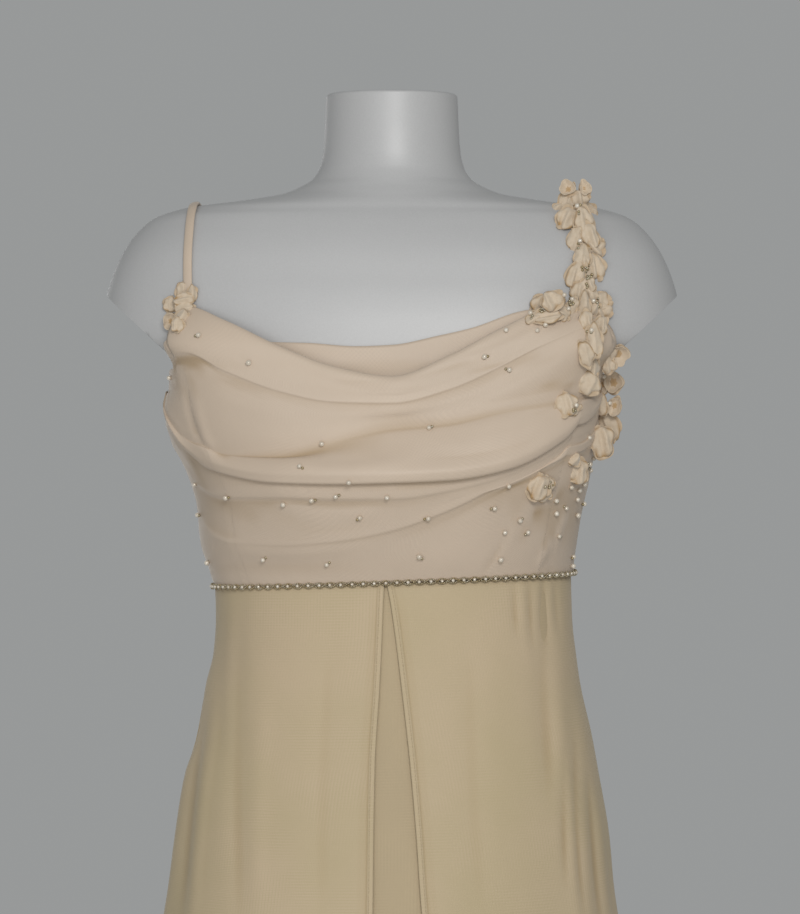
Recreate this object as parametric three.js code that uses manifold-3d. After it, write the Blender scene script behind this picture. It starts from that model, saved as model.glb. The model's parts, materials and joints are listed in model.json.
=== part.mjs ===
import * as THREE from 'three';
import Module from 'manifold-3d';
import { mergeVertices } from 'three/addons/utils/BufferGeometryUtils.js';

// An evening gown with a draped cowl bodice, a flowered strap and a split chiffon skirt, on a dress form with
// no limbs.
// Millimetres, +Z up, the front towards -Y. Left and right are as seen from the front, so left is -X.
// The origin is the centre of the stand's underside.

// Driving dimensions
const SEAM = 0.3;
const BODICE_WALL = 1.6;
const FACING_WALL = 1.2;
const SKIRT_WALL = 1.2;
const FORM_CLEARANCE = 3.2;
const HEM_HEIGHT = 25;
const BAND_HEIGHT = 1137;
const BAND_SLOPE = 0.038;
const TRIM_RADIUS = 2.4;
const TRIM_GAP = 0.9;
const BASE_RADIUS = 185;
const BASE_HEIGHT = 9;
const BASE_CORNERS = 40;
const POLE_RADIUS = 14;
const POLE_CORNERS = 16;
const COLLAR_RADIUS = 32;
const COLLAR_HEIGHT = 16;
const COLLAR_CORNERS = 24;
const FORM_BOTTOM = 780;
const FORM_CORNERS = 32;
const NECK_CROWN = 1.2;
const SHOULDER_START = 1385;
const SHOULDER_END = 1428;
const UNDERSKIRT_INSET = 1.6;
const UNDERSKIRT_HEM_INSET = 9;
const UNDERSKIRT_HEM_RISE = 12;
const SKIRT_SQUARENESS = 2.2;
const ARMHOLE_ANGLE = 50;
const SEAM_REACH = { edge: 57, roll: 78, hollow: 78, swag: 78, lap: 90, pull: 90 };
const SIDE_SEAM = 90;
const SEAM_EDGE_RISE = 4;
const PETAL_WALL = 1.2;

// A table is rows of numbers under named columns.
function table(columns, rows) {
  const names = columns.split(' ');
  return rows.map((row) => Object.fromEntries(names.map((name, i) => [name, row[i]])));
}

// The dress form by height: half width, depth in front and behind, and how square the outline is.
const FORM = table('z width front back square', [
  [780, 140, 88, 92, 2.2],
  [860, 152, 97, 104, 2.2],
  [930, 152, 99, 104, 2.2],
  [1000, 131, 90, 90, 2.2],
  [1075, 112, 82, 76, 2.2],
  [1136, 122, 92, 80, 2.2],
  [1180, 130, 106, 84, 2.3],
  [1230, 136, 116, 88, 2.6],
  [1270, 143, 113, 92, 3.1],
  [1294, 150, 107, 94, 3.5],
  [1298, 157, 106.5, 94, 3.3],
  [1304, 188, 106, 94, 2.6],
  [1310, 202, 105, 93.5, 2.5],
  [1317, 211, 103.8, 93, 2.5],
  [1330, 215, 102, 92, 2.5],
  [1348, 213.5, 98, 89, 2.5],
  [1361, 210, 94, 86, 2.5],
  [1378, 203, 88.5, 81, 2.5],
  [1391, 195, 83, 76, 2.4],
  [1402, 185, 77, 71, 2.3],
  [1408, 176, 73, 68, 2.3],
  [1412, 165, 70, 66, 2.2],
  [1415.5, 150, 68, 64.5, 2.2],
  [1418.6, 123, 66, 63, 2.2],
  [1422, 100, 63.5, 61, 2.1],
  [1425, 83, 61.5, 59.5, 2.1],
  [1430, 70, 58, 57, 2.1],
  [1436, 60, 55, 54, 2.0],
  [1444, 54.5, 52, 51.5, 2.0],
  [1456, 51.5, 50, 50, 2.0],
  [1476, 50, 49, 49, 2.0],
  [1498.5, 49, 49, 49, 2.0],
  [1500, 47.5, 47.5, 47.5, 2.0],
]);

// The flat cut across each arm stump, from the armpit to the shoulder point, as seen from the front.
const STUMP_CUT = { lowX: 156.5, lowZ: 1297, highX: 216, highZ: 1351.6, outX: 260, depth: 150 };

// The bodice without its folds: half widths to the left and right, depths and squareness.
const BODICE = table('z left right front back square', [
  [1131, 133, 136, 98, 86, 2.2],
  [1145, 137, 136, 100, 87, 2.2],
  [1163, 143, 138, 105, 88, 2.25],
  [1193, 146, 143, 114, 90, 2.3],
  [1205, 149, 146, 117, 91, 2.35],
  [1226, 157, 150, 120.5, 92, 2.5],
  [1241, 165, 152, 121, 94, 2.7],
  [1262, 169, 153.5, 119, 97, 3.1],
  [1280, 165.5, 154, 115.5, 99, 3.8],
  [1294, 165, 158, 112.5, 99.5, 4.6],
  [1313, 174, 169, 108.5, 99.5, 5.6],
  [1343, 168, 162, 98, 97, 4],
]);

// Heights of the drape's lines at places across the front (x), from the neck edge down towards the seam under
// the bust.
const DRAPE_LINES = table('x edge roll hollow swag lap pull', [
  [-163, 1313, 1304, 1284, 1262, 1220, 1190],
  [-150, 1339, 1306, 1252, 1236, 1205, 1181],
  [-120, 1328, 1293, 1236, 1218, 1200, 1167],
  [-80, 1309, 1278, 1234, 1211, 1200, 1165],
  [-40, 1294, 1270, 1241, 1210, 1199, 1168],
  [0, 1287, 1269, 1249, 1211, 1199, 1176],
  [40, 1302, 1279, 1253, 1213, 1205, 1191],
  [80, 1323, 1297, 1262, 1221, 1216, 1211],
  [120, 1340, 1317, 1270, 1242, 1236, 1228],
  [145, 1343, 1326, 1280, 1269, 1262, 1248],
  [155, 1316, 1304, 1282, 1272, 1264, 1250],
]);

// Where the same lines meet the side seams.
const SEAM_LINES = {
  left: { edge: 1290, roll: 1288, hollow: 1287, swag: 1285, lap: 1228, pull: 1196 },
  right: { edge: 1292, roll: 1291, hollow: 1289, swag: 1287, lap: 1275, pull: 1262 },
};

// The drape from top to bottom: a line, how far below it, the cloth's lift at the left, middle and right, and
// the rows down to the next.
const DRAPE = table('line below left middle right cells', [
  ['edge', 0, 0, 12.5, 0, 1],
  ['edge', 3, 0.6, 14, 0.6, 1],
  ['edge', 11, 1, 8, 1, 1],
  ['roll', -3.5, 4, 16.5, 4, 1],
  ['roll', 1.5, 4.5, 17.5, 4.5, 1],
  ['roll', 7, 2, 10.5, 2, 2],
  ['hollow', 0, 6.5, 4, 4, 2],
  ['swag', -17, 9.5, 23, 10, 1],
  ['swag', -5, 11, 29, 13, 1],
  ['swag', 0.5, 10.5, 27.5, 12, 1],
  ['swag', 4.5, 5.5, 17, 7, 1],
  ['lap', -3, 4, 17.5, 5.5, 1],
  ['lap', 0.5, 4, 16.5, 5, 1],
  ['lap', 4.5, 2, 10, 4, 1],
  ['pull', -4, 2, 8.5, 9, 1],
  ['pull', 0.5, 2, 8.5, 9, 1],
  ['pull', 5.5, 1, 6, 4.5, 2],
  ['band', -16, 0.5, 3.5, 2, 1],
  ['band', 0, 0, 0.5, 0, 0],
]);

// The top edge of the layer that shows behind the first roll, across the chest.
const FACING_EDGE = table('x z', [
  [-124, 1325],
  [-88, 1312],
  [-60, 1311],
  [-26, 1308.5],
  [0, 1309.5],
  [35, 1316.5],
  [58, 1322],
  [93, 1334],
  [116, 1338],
]);
const FACING_DEPTH = 30;
const FACING_LIFT = 0.9;

// The top edge of the back, by angle from the side seam to the centre.
const BACK_EDGE = table('angle z', [
  [90, 1290],
  [120, 1282],
  [150, 1268],
  [180, 1262],
]);

// The skirt by height: half widths and depths.
const SKIRT = table('z left right front back', [
  [25, 310, 312, 262, 278],
  [200, 287, 288, 240, 254],
  [350, 262, 263, 216, 230],
  [500, 236, 237, 190, 204],
  [650, 209, 210, 165, 178],
  [800, 183, 184, 142, 152],
  [907, 165, 165, 127, 131],
  [946, 160.5, 162, 121, 124],
  [991, 154, 155, 114, 116],
  [1019, 146, 150, 109, 109],
  [1059, 139, 141, 104, 99],
  [1080, 134, 138, 102, 95],
  [1106, 132, 135, 100, 90],
  [1143, 133, 134, 98, 86],
]);
const SKIRT_ROWS = [25, 160, 320, 480, 640, 790, 900, 990, 1065];
const SKIRT_COLUMNS = 18;
const UNDERSKIRT_COLUMNS = 36;

// The skirt's soft flutes: angle round from the front centre, width, depth at the hem, and the height
// where each starts.
const FLUTES = table('angle width depth start', [
  [-172, 8, 20, 1115],
  [-148, 9, 20, 1100],
  [-124, 9, 19, 1090],
  [-101, 8, 17, 1080],
  [-80, 7, 17, 1110],
  [-58, 8, 15, 940],
  [-38, 8, 15, 840],
  [-19, 7, 13, 720],
  [14, 7, 12, 700],
  [34, 8, 14, 820],
  [54, 7, 15, 1130],
  [68, 6, 15, 1060],
  [82, 6, 15, 1000],
  [104, 8, 18, 1090],
  [127, 9, 19, 1100],
  [151, 9, 20, 1100],
  [176, 8, 20, 1115],
]);

// The edges of the two front panels, which part below the band.
const SPLIT = table('z left right', [
  [25, -46, 115],
  [907, -13.5, 21],
  [957, -13, 17.5],
  [1008, -12, 13],
  [1057, -9, 7.5],
  [1098, -7, 2.5],
  [1124, -6, -1.3],
  [1140, -5, -4.4],
]);

// Straps over the shoulders, as places across and heights. On the way down the back behind = 1, and off is
// how far the strap has left the form to reach the top edge.
const PLAIN_STRAP = table('x z behind off', [
  [-147.2, 1338.4, 0, 0],
  [-148.5, 1352, 0, 0],
  [-149, 1366, 0, 0],
  [-149, 1380, 0, 0],
  [-148.5, 1393, 0, 0],
  [-148, 1403, 0, 0],
  [-147.5, 1410, 0, 0],
  [-147, 1413.6, 0, 0],
  [-146.8, 1415.2, 0, 0],
  [-146.6, 1415.9, 0, 0],
  [-146.4, 1415.2, 1, 0],
  [-146, 1413.6, 1, 0],
  [-145, 1408, 1, 0],
  [-143, 1398, 1, 0],
  [-140, 1384, 1, 0],
  [-136, 1366, 1, 0],
  [-131, 1345, 1, 0.6],
  [-127, 1324, 1, 2.4],
  [-122.5, 1304, 1, 5],
  [-117.5, 1290, 1, 8],
  [-114.7, 1277.6, 1, 10.7],
]);
const FLOWER_STRAP = table('x z behind off', [
  [141, 1343.8, 0, 0],
  [141.5, 1356, 0, 0],
  [141.5, 1370, 0, 0],
  [141, 1384, 0, 0],
  [140, 1396, 0, 0],
  [139, 1406, 0, 0],
  [138, 1412.5, 0, 0],
  [137.4, 1415.4, 0, 0],
  [137, 1416.5, 0, 0],
  [137, 1417, 0, 0],
  [137, 1416.5, 1, 0],
  [136.9, 1415.4, 1, 0],
  [136.7, 1412.5, 1, 0],
  [136.3, 1407.5, 1, 0],
  [135.5, 1400, 1, 0],
  [133.5, 1386, 1, 0],
  [131, 1368, 1, 0],
  [127.5, 1347, 1, 0.6],
  [123.5, 1325, 1, 2.2],
  [119.5, 1304, 1, 4.5],
  [116.5, 1288, 1, 7.5],
  [114.5, 1272.6, 1, 10],
]);
const PLAIN_STRAP_SIZE = { width: 7, thickness: 2.6 };
const FLOWER_STRAP_SIZE = { width: 10, thickness: 2.4 };
const STRAP_LIFT = 0.7;

// Chiffon flowers and single petals. Those by the straps lie at x and z in front of the chest, and those on
// the bodice lie at an angle and a height. Lift is how far the back of each stands off.
const CHEST_FLOWERS = table('name x z radius long petals cup turn lift', [
  ['flower_shoulder', 138, 1411.5, 11.6, 1, 5, 0.35, 10, 3.2],
  ['flower_upper', 139.5, 1388.5, 10.5, 1, 5, 0.45, 40, 3.2],
  ['flower_middle', 142.5, 1368, 9, 1, 5, 0.4, 75, 3.2],
  ['flower_low', 142, 1351.5, 6.8, 1, 4, 0.5, 20, 3.2],
  ['flower_outer', 157, 1340.5, 7, 1, 4, 0.5, 50, 0.1],
  ['petal_left_top', -151, 1353, 6.5, 1, 3, 0.6, 15, 3.3],
  ['petal_left_outer', -164, 1341.5, 6, 1.2, 3, 0.6, 70, 0.1],
]);
const BODICE_FLOWERS = table('name angle z radius long petals cup turn lift', [
  ['flower_corner', 35, 1331, 13, 1, 5, 0.4, 30, 0.5],
  ['petal_foot', 46.5, 1329.5, 7.2, 1, 4, 0.5, 0, 0.8],
  ['petal_armhole_inner', 44, 1311, 7, 1.1, 4, 0.5, 60, 0.3],
  ['petal_armhole_outer', 58, 1287, 7.6, 1, 3, 0.5, 20, 0.4],
  ['petal_side_inner', 50, 1286, 6.2, 1.1, 3, 0.5, 90, 0.5],
  ['flower_side', 70, 1276, 8.5, 1, 5, 0.45, 15, 0.45],
  ['petal_front', 46, 1266.5, 6.6, 1, 3, 0.5, 40, 0.5],
  ['petal_side_long', 74, 1253, 7.2, 1.4, 3, 0.4, 0, 0.6],
  ['petal_side_low', 68, 1234, 8, 1.2, 3, 0.45, 30, 0],
  ['flower_low_side', 61, 1215.5, 7, 1, 4, 0.45, 25, 0.6],
  ['flower_low_front', 45, 1202, 8.4, 1, 5, 0.45, 55, 0.6],
  ['petal_left_foot', -46, 1330.5, 6, 1, 3, 0.6, 10, 0.6],
]);

const rad = (degrees) => (degrees * Math.PI) / 180;
const mix = (a, b, t) => a + (b - a) * t;
const clamp = (value, low, high) => Math.min(high, Math.max(low, value));

function smoothStep(from, to, value) {
  const t = clamp((value - from) / (to - from), 0, 1);
  return t * t * (3 - 2 * t);
}

// A column's value between the rows of a table, on a smooth curve that doesn't overshoot.
function read(rows, key, column, at) {
  const last = rows.length - 1;
  if (at <= rows[0][key]) return rows[0][column];
  if (at >= rows[last][key]) return rows[last][column];
  let i = 0;
  while (at > rows[i + 1][key]) i += 1;
  const secant = (j) => (rows[j + 1][column] - rows[j][column]) / (rows[j + 1][key] - rows[j][key]);
  const slope = (j) => {
    if (j === 0) return secant(0);
    if (j === last) return secant(last - 1);
    const before = secant(j - 1);
    const after = secant(j);
    return before * after <= 0 ? 0 : (2 * before * after) / (before + after);
  };
  const span = rows[i + 1][key] - rows[i][key];
  const t = (at - rows[i][key]) / span;
  const start = rows[i][column] * (2 * t ** 3 - 3 * t ** 2 + 1);
  const end = rows[i + 1][column] * (3 * t ** 2 - 2 * t ** 3);
  const turn = slope(i) * (t ** 3 - 2 * t ** 2 + t) + slope(i + 1) * (t ** 3 - t ** 2);
  return start + end + turn * span;
}

// A point on a section's outline, at an angle round from the front centre towards the right.
function outline(angle, width, depth, square) {
  const s = Math.sin(angle);
  const c = Math.cos(angle);
  const reach = (Math.abs(s) ** square + Math.abs(c) ** square) ** (-1 / square);
  return { x: width * s * reach, y: -depth * c * reach };
}

// The angle at which an outline passes a place across the front.
function angleAt(x, width, square) {
  const across = clamp(Math.abs(x) / width, 0, 1);
  const forward = (1 - across ** square) ** (1 / square);
  return Math.sign(x) * Math.atan2(across, forward);
}

// How far the form's chest (side 1) or back (side -1) stands from the middle plane at x and z.
function formDepth(x, z, side) {
  const width = read(FORM, 'z', 'width', z);
  const square = read(FORM, 'z', 'square', z);
  const depth = read(FORM, 'z', side > 0 ? 'front' : 'back', z);
  const across = Math.abs(x) / width;
  return across >= 1 ? 0 : depth * (1 - across ** square) ** (1 / square);
}

// The outward direction of the form's surface at x and z, from points a small step to each side.
const STEP = 0.5;
function formNormal(x, z, side) {
  const alongX = (formDepth(x + STEP, z, side) - formDepth(x - STEP, z, side)) / (2 * STEP);
  const alongZ = (formDepth(x, z + STEP, side) - formDepth(x, z - STEP, side)) / (2 * STEP);
  return new THREE.Vector3(-alongX, -side, -alongZ).normalize();
}

function formPoint(x, z, side, lift) {
  const point = new THREE.Vector3(x, -side * formDepth(x, z, side), z);
  return point.addScaledVector(formNormal(x, z, side), lift);
}

// A closed body from points and triangles, turned so that its faces point outwards.
function body(points, triangles) {
  let volume = 0;
  for (const [a, b, c] of triangles) {
    volume += points[a].dot(new THREE.Vector3().crossVectors(points[b], points[c]));
  }
  const index = triangles.flatMap(([a, b, c]) => (volume > 0 ? [a, b, c] : [a, c, b]));
  const geometry = new THREE.BufferGeometry();
  geometry.setAttribute('position', new THREE.Float32BufferAttribute(points.flatMap((p) => p.toArray()), 3));
  geometry.setIndex(index);
  geometry.computeVertexNormals();
  return geometry;
}

// The normals of a grid of points, from each point's neighbours along and across.
function gridNormals(grid) {
  const rows = grid.length;
  const columns = grid[0].length;
  return grid.map((row, i) => row.map((_, j) => {
    const across = grid[i][Math.min(j + 1, columns - 1)].clone().sub(grid[i][Math.max(j - 1, 0)]);
    const down = grid[Math.min(i + 1, rows - 1)][j].clone().sub(grid[Math.max(i - 1, 0)][j]);
    return across.cross(down).normalize();
  }));
}

// A cloth panel: an outer grid of points with rows downwards, given a thickness on its inner side.
function panel(grid, thickness, normals = gridNormals(grid)) {
  const rows = grid.length;
  const columns = grid[0].length;
  const middle = grid[rows >> 1][columns >> 1];
  const outward = new THREE.Vector3(middle.x, middle.y, 0);
  const sign = normals[rows >> 1][columns >> 1].dot(outward) > 0 ? -1 : 1;
  const inner = grid.map((row, i) => row.map((p, j) => (
    p.clone().addScaledVector(normals[i][j], sign * thickness)
  )));
  const points = [...grid.flat(), ...inner.flat()];
  const back = rows * columns;
  const triangles = [];
  const quad = (a, b, c, d) => triangles.push([a, b, c], [a, c, d]);
  for (let i = 0; i < rows - 1; i += 1) {
    for (let j = 0; j < columns - 1; j += 1) {
      const a = i * columns + j;
      const below = a + columns;
      quad(a, below, below + 1, a + 1);
      quad(back + a, back + a + 1, back + below + 1, back + below);
    }
  }
  for (let j = 0; j < columns - 1; j += 1) {
    const low = (rows - 1) * columns + j;
    quad(j, j + 1, back + j + 1, back + j);
    quad(low + 1, low, back + low, back + low + 1);
  }
  for (let i = 0; i < rows - 1; i += 1) {
    const a = i * columns;
    const z = a + columns - 1;
    quad(a + columns, a, back + a, back + a + columns);
    quad(z, z + columns, back + z + columns, back + z);
  }
  return body(points, triangles);
}

// Rings of points joined into a closed body, each end closed by a point.
function rings(loops, first, last) {
  const corners = loops[0].length;
  const points = [...loops.flat(), first, last];
  const triangles = [];
  for (let i = 0; i < loops.length - 1; i += 1) {
    for (let j = 0; j < corners; j += 1) {
      const next = (j + 1) % corners;
      const a = i * corners;
      const b = a + corners;
      triangles.push([a + j, a + next, b + next], [a + j, b + next, b + j]);
    }
  }
  const top = (loops.length - 1) * corners;
  for (let j = 0; j < corners; j += 1) {
    const next = (j + 1) % corners;
    triangles.push([points.length - 2, next, j], [points.length - 1, top + j, top + next]);
  }
  return body(points, triangles);
}

const centreOf = (loop) => loop.reduce((sum, p) => sum.add(p), new THREE.Vector3()).divideScalar(loop.length);

// Height of the seam under the bust, which rises a little to the right.
const bandHeight = (x) => BAND_HEIGHT + BAND_SLOPE * x;

// A point on the bodice before its folds.
function bodiceBase(angle, z) {
  const width = read(BODICE, 'z', Math.sin(angle) < 0 ? 'left' : 'right', z);
  const depth = read(BODICE, 'z', Math.cos(angle) > 0 ? 'front' : 'back', z);
  return outline(angle, width, depth, read(BODICE, 'z', 'square', z));
}

// Height of one of the drape's lines at an angle round the front. It depends on the width there, and that on
// the height, so a few passes settle both.
const LINE_START = 1250;
const LINE_PASSES = 6;
function lineHeight(line, angle) {
  const degrees = Math.abs(angle * 180 / Math.PI);
  const held = Math.sign(angle) * rad(Math.min(degrees, ARMHOLE_ANGLE));
  let z = LINE_START;
  for (let pass = 0; pass < LINE_PASSES; pass += 1) {
    const { x } = bodiceBase(held, z);
    z = line === 'band' ? bandHeight(bodiceBase(angle, z).x) : read(DRAPE_LINES, 'x', line, x);
  }
  if (line === 'band') return z;
  const seam = SEAM_LINES[angle < 0 ? 'left' : 'right'][line];
  const reached = smoothStep(ARMHOLE_ANGLE, SEAM_REACH[line], degrees);
  if (line !== 'edge') return mix(z, seam, reached);
  const underArm = seam + SEAM_EDGE_RISE * (SIDE_SEAM - degrees) / (SIDE_SEAM - ARMHOLE_ANGLE);
  return mix(z, underArm, reached);
}

// The stops of the drape down one line of the front, each with its height and the cloth's lift. The lifts
// change from the middle's to the side's over SIDE_SHARE, and sink by SIDE_FADE towards the side seam. Where
// two lines meet, their stops keep ROW_GAP between them and the lower one takes the lift of the upper.
const SIDE_SHARE = 0.85;
const SIDE_FADE = { from: 55, to: 88, amount: 0.85 };
const ROW_GAP = 1.3;
const CLOSE_ROWS = 4;
function drapeStops(angle) {
  const across = Math.sin(angle);
  const fade = SIDE_FADE.amount * smoothStep(SIDE_FADE.from, SIDE_FADE.to, Math.abs(angle * 180 / Math.PI));
  const stops = [];
  for (const stop of DRAPE) {
    const side = across < 0 ? stop.left : stop.right;
    const ownLift = mix(stop.middle, side, smoothStep(0, SIDE_SHARE, Math.abs(across))) * (1 - fade);
    const wanted = lineHeight(stop.line, angle) - stop.below;
    const above = stops[stops.length - 1] ?? { z: wanted + CLOSE_ROWS, lift: ownLift };
    const ownShare = smoothStep(-CLOSE_ROWS, CLOSE_ROWS, above.z - wanted + ROW_GAP);
    const lift = mix(above.lift, ownLift, ownShare);
    stops.push({ z: Math.min(wanted, above.z - ROW_GAP), lift, cells: stop.cells });
  }
  return stops;
}

// A point on the outside of the draped front. It keeps clear of the form, also where that slopes away.
const SIDEWAYS_SHARE = 0.5;
const STEEPEST_SLOPE = 0.3;
function drapedPoint(angle, z, stops) {
  const base = bodiceBase(angle, z);
  const rising = [...stops].reverse();
  const lift = read(rising, 'z', 'lift', z);
  const x = base.x + Math.sin(angle) * lift * SIDEWAYS_SHARE;
  const y = base.y - Math.cos(angle) * lift;
  const chest = formDepth(x, z, 1);
  if (chest === 0) return new THREE.Vector3(x, y, z);
  const clear = FORM_CLEARANCE / Math.max(-formNormal(x, z, 1).y, STEEPEST_SLOPE);
  return new THREE.Vector3(x, -Math.max(-y, chest + clear), z);
}

// The front's columns, from its centre to a side seam.
const FRONT_HALF_ANGLES = [6, 12, 17, 22, 27, 32, 37, 42, 46, 49, 52, 56, 62, 70, 79, 89.9];

const SMALL_TURN = rad(0.5);
function bodiceFront() {
  const angles = [...FRONT_HALF_ANGLES.map((a) => -a).reverse(), 0, ...FRONT_HALF_ANGLES].map(rad);
  const columns = angles.map((angle) => {
    const stops = drapeStops(angle);
    const heights = [];
    stops.forEach((stop, i) => {
      for (let cell = 0; cell < stop.cells; cell += 1) {
        heights.push(mix(stop.z, stops[i + 1].z, cell / stop.cells));
      }
    });
    heights.push(stops[stops.length - 1].z);
    const before = drapeStops(angle - SMALL_TURN);
    const after = drapeStops(angle + SMALL_TURN);
    return heights.map((z) => {
      const across = drapedPoint(angle + SMALL_TURN, z, after)
        .sub(drapedPoint(angle - SMALL_TURN, z, before));
      const down = drapedPoint(angle, z - STEP, stops).sub(drapedPoint(angle, z + STEP, stops));
      return { at: drapedPoint(angle, z, stops), normal: across.cross(down).normalize() };
    });
  });
  const across = (key) => columns[0].map((_, i) => columns.map((column) => column[i][key]));
  return panel(across('at'), BODICE_WALL, across('normal'));
}

const FACING_ROWS = 2;
const FACING_COLUMNS = 20;
function neckFacing() {
  const first = FACING_EDGE[0].x;
  const width = FACING_EDGE[FACING_EDGE.length - 1].x - first;
  const grid = [];
  for (let i = 0; i <= FACING_ROWS; i += 1) {
    const row = [];
    for (let j = 0; j <= FACING_COLUMNS; j += 1) {
      const x = first + (width * j) / FACING_COLUMNS;
      const z = read(FACING_EDGE, 'x', 'z', x) - (FACING_DEPTH * i) / FACING_ROWS;
      row.push(formPoint(x, z, 1, FACING_WALL + FACING_LIFT));
    }
    grid.push(row);
  }
  return panel(grid, FACING_WALL);
}

// The two panels behind, each from a side seam to the centre-back seam.
const BACK_GAP = rad(0.12);
const BACK_ROWS = 6;
const BACK_COLUMNS = 9;
function bodiceBack(side) {
  const grid = [];
  for (let i = 0; i <= BACK_ROWS; i += 1) {
    const row = [];
    for (let j = 0; j <= BACK_COLUMNS; j += 1) {
      const angle = mix(rad(90) + BACK_GAP, rad(180) - BACK_GAP, j / BACK_COLUMNS);
      const top = read(BACK_EDGE, 'angle', 'z', angle * 180 / Math.PI);
      let z = BAND_HEIGHT;
      for (let pass = 0; pass < LINE_PASSES; pass += 1) {
        z = mix(top, bandHeight(bodiceBase(side * angle, z).x), i / BACK_ROWS);
      }
      const { x, y } = bodiceBase(side * angle, z);
      row.push(new THREE.Vector3(x, y, z));
    }
    grid.push(side < 0 ? row : row.reverse());
  }
  return panel(grid, BODICE_WALL);
}

// How far the flutes push the skirt out at an angle and a height.
const FLUTE_GROWTH = 0.9;
const FLUTE_SHARE = 0.9;
function fluteLift(angle, z) {
  let lift = 0;
  for (const flute of FLUTES) {
    const turn = Math.abs(((angle * 180 / Math.PI - flute.angle + 540) % 360) - 180);
    const growth = clamp((flute.start - z) / (flute.start - HEM_HEIGHT), 0, 1) ** FLUTE_GROWTH;
    lift += flute.depth * growth * Math.exp(-((turn / flute.width) ** 2));
  }
  return lift * FLUTE_SHARE;
}

// A point on the skirt, moved in for the layer beneath.
function skirtPoint(angle, z, inset) {
  const width = read(SKIRT, 'z', Math.sin(angle) < 0 ? 'left' : 'right', z);
  const depth = read(SKIRT, 'z', Math.cos(angle) > 0 ? 'front' : 'back', z);
  const lift = fluteLift(angle, z) - inset;
  const { x, y } = outline(angle, width + lift, depth + lift, SKIRT_SQUARENESS);
  return new THREE.Vector3(x, y, z);
}

// The layer beneath lies a little further in towards the hem.
function underskirtInset(z) {
  const height = clamp((z - HEM_HEIGHT) / (BAND_HEIGHT - HEM_HEIGHT), 0, 1);
  return mix(UNDERSKIRT_HEM_INSET, UNDERSKIRT_INSET, height);
}

// A skirt panel between two edges, each given as an angle at a height, in one of the skirt's two layers.
function skirtPanel(from, to, { columns, insetAt, hem }) {
  const grid = [];
  for (let i = SKIRT_ROWS.length; i >= 0; i -= 1) {
    const row = [];
    for (let j = 0; j <= columns; j += 1) {
      let z = SKIRT_ROWS[i] ?? BAND_HEIGHT;
      if (i === 0) z = hem;
      const angle = mix(from(z), to(z), j / columns);
      if (i === SKIRT_ROWS.length) z = bandHeight(skirtPoint(angle, z, 0).x) - SEAM;
      row.push(skirtPoint(angle, z, insetAt(z)));
    }
    grid.push(row);
  }
  return panel(grid, SKIRT_WALL);
}

const SIDE_GAP = rad(0.1);
const splitAngle = (side) => (z) => {
  const x = read(SPLIT, 'z', side, z);
  return angleAt(x, read(SKIRT, 'z', x < 0 ? 'left' : 'right', z), SKIRT_SQUARENESS);
};
const atAngle = (degrees, gap) => () => rad(degrees) + gap;

// A strap over the shoulder: a flat oval section carried along the form.
const STRAP_CORNERS = 8;
function strap(route, size) {
  const centres = route.map((row) => {
    const side = row.behind ? -1 : 1;
    const normal = formNormal(row.x, row.z, side);
    return { normal, at: formPoint(row.x, row.z, side, size.thickness / 2 + STRAP_LIFT + row.off) };
  });
  const loops = centres.map(({ at, normal }, i) => {
    const before = centres[Math.max(i - 1, 0)].at;
    const after = centres[Math.min(i + 1, centres.length - 1)].at;
    const along = after.clone().sub(before).normalize();
    const across = new THREE.Vector3().crossVectors(along, normal).normalize();
    const up = new THREE.Vector3().crossVectors(across, along).normalize();
    return Array.from({ length: STRAP_CORNERS }, (_, k) => {
      const turn = (k / STRAP_CORNERS) * Math.PI * 2;
      return at.clone()
        .addScaledVector(across, Math.cos(turn) * size.width / 2)
        .addScaledVector(up, Math.sin(turn) * size.thickness / 2);
    });
  });
  return rings(loops, centreOf(loops[0]), centreOf(loops[loops.length - 1]));
}

// The beaded trim, a thin ring round the seam under the bust.
const TRIM_STEPS = 60;
const TRIM_CORNERS = 6;
function beadTrim() {
  const seamPoint = (angle) => {
    const z = bandHeight(bodiceBase(angle, BAND_HEIGHT).x);
    const { x, y } = bodiceBase(angle, z);
    return new THREE.Vector3(x, y, z);
  };
  const up = new THREE.Vector3(0, 0, 1);
  const loops = Array.from({ length: TRIM_STEPS }, (_, i) => {
    const angle = (i / TRIM_STEPS) * Math.PI * 2;
    const along = seamPoint(angle + SMALL_TURN).sub(seamPoint(angle - SMALL_TURN));
    const outward = along.cross(up).normalize();
    const centre = seamPoint(angle).addScaledVector(outward, TRIM_RADIUS + TRIM_GAP);
    return Array.from({ length: TRIM_CORNERS }, (_, k) => {
      const turn = (k / TRIM_CORNERS) * Math.PI * 2;
      return centre.clone()
        .addScaledVector(outward, Math.cos(turn) * TRIM_RADIUS)
        .addScaledVector(up, Math.sin(turn) * TRIM_RADIUS);
    });
  });
  const triangles = [];
  for (let i = 0; i < TRIM_STEPS; i += 1) {
    for (let k = 0; k < TRIM_CORNERS; k += 1) {
      const next = (k + 1) % TRIM_CORNERS;
      const a = i * TRIM_CORNERS;
      const b = ((i + 1) % TRIM_STEPS) * TRIM_CORNERS;
      triangles.push([a + k, a + next, b + next], [a + k, b + next, b + k]);
    }
  }
  return body(loops.flat(), triangles);
}

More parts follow.
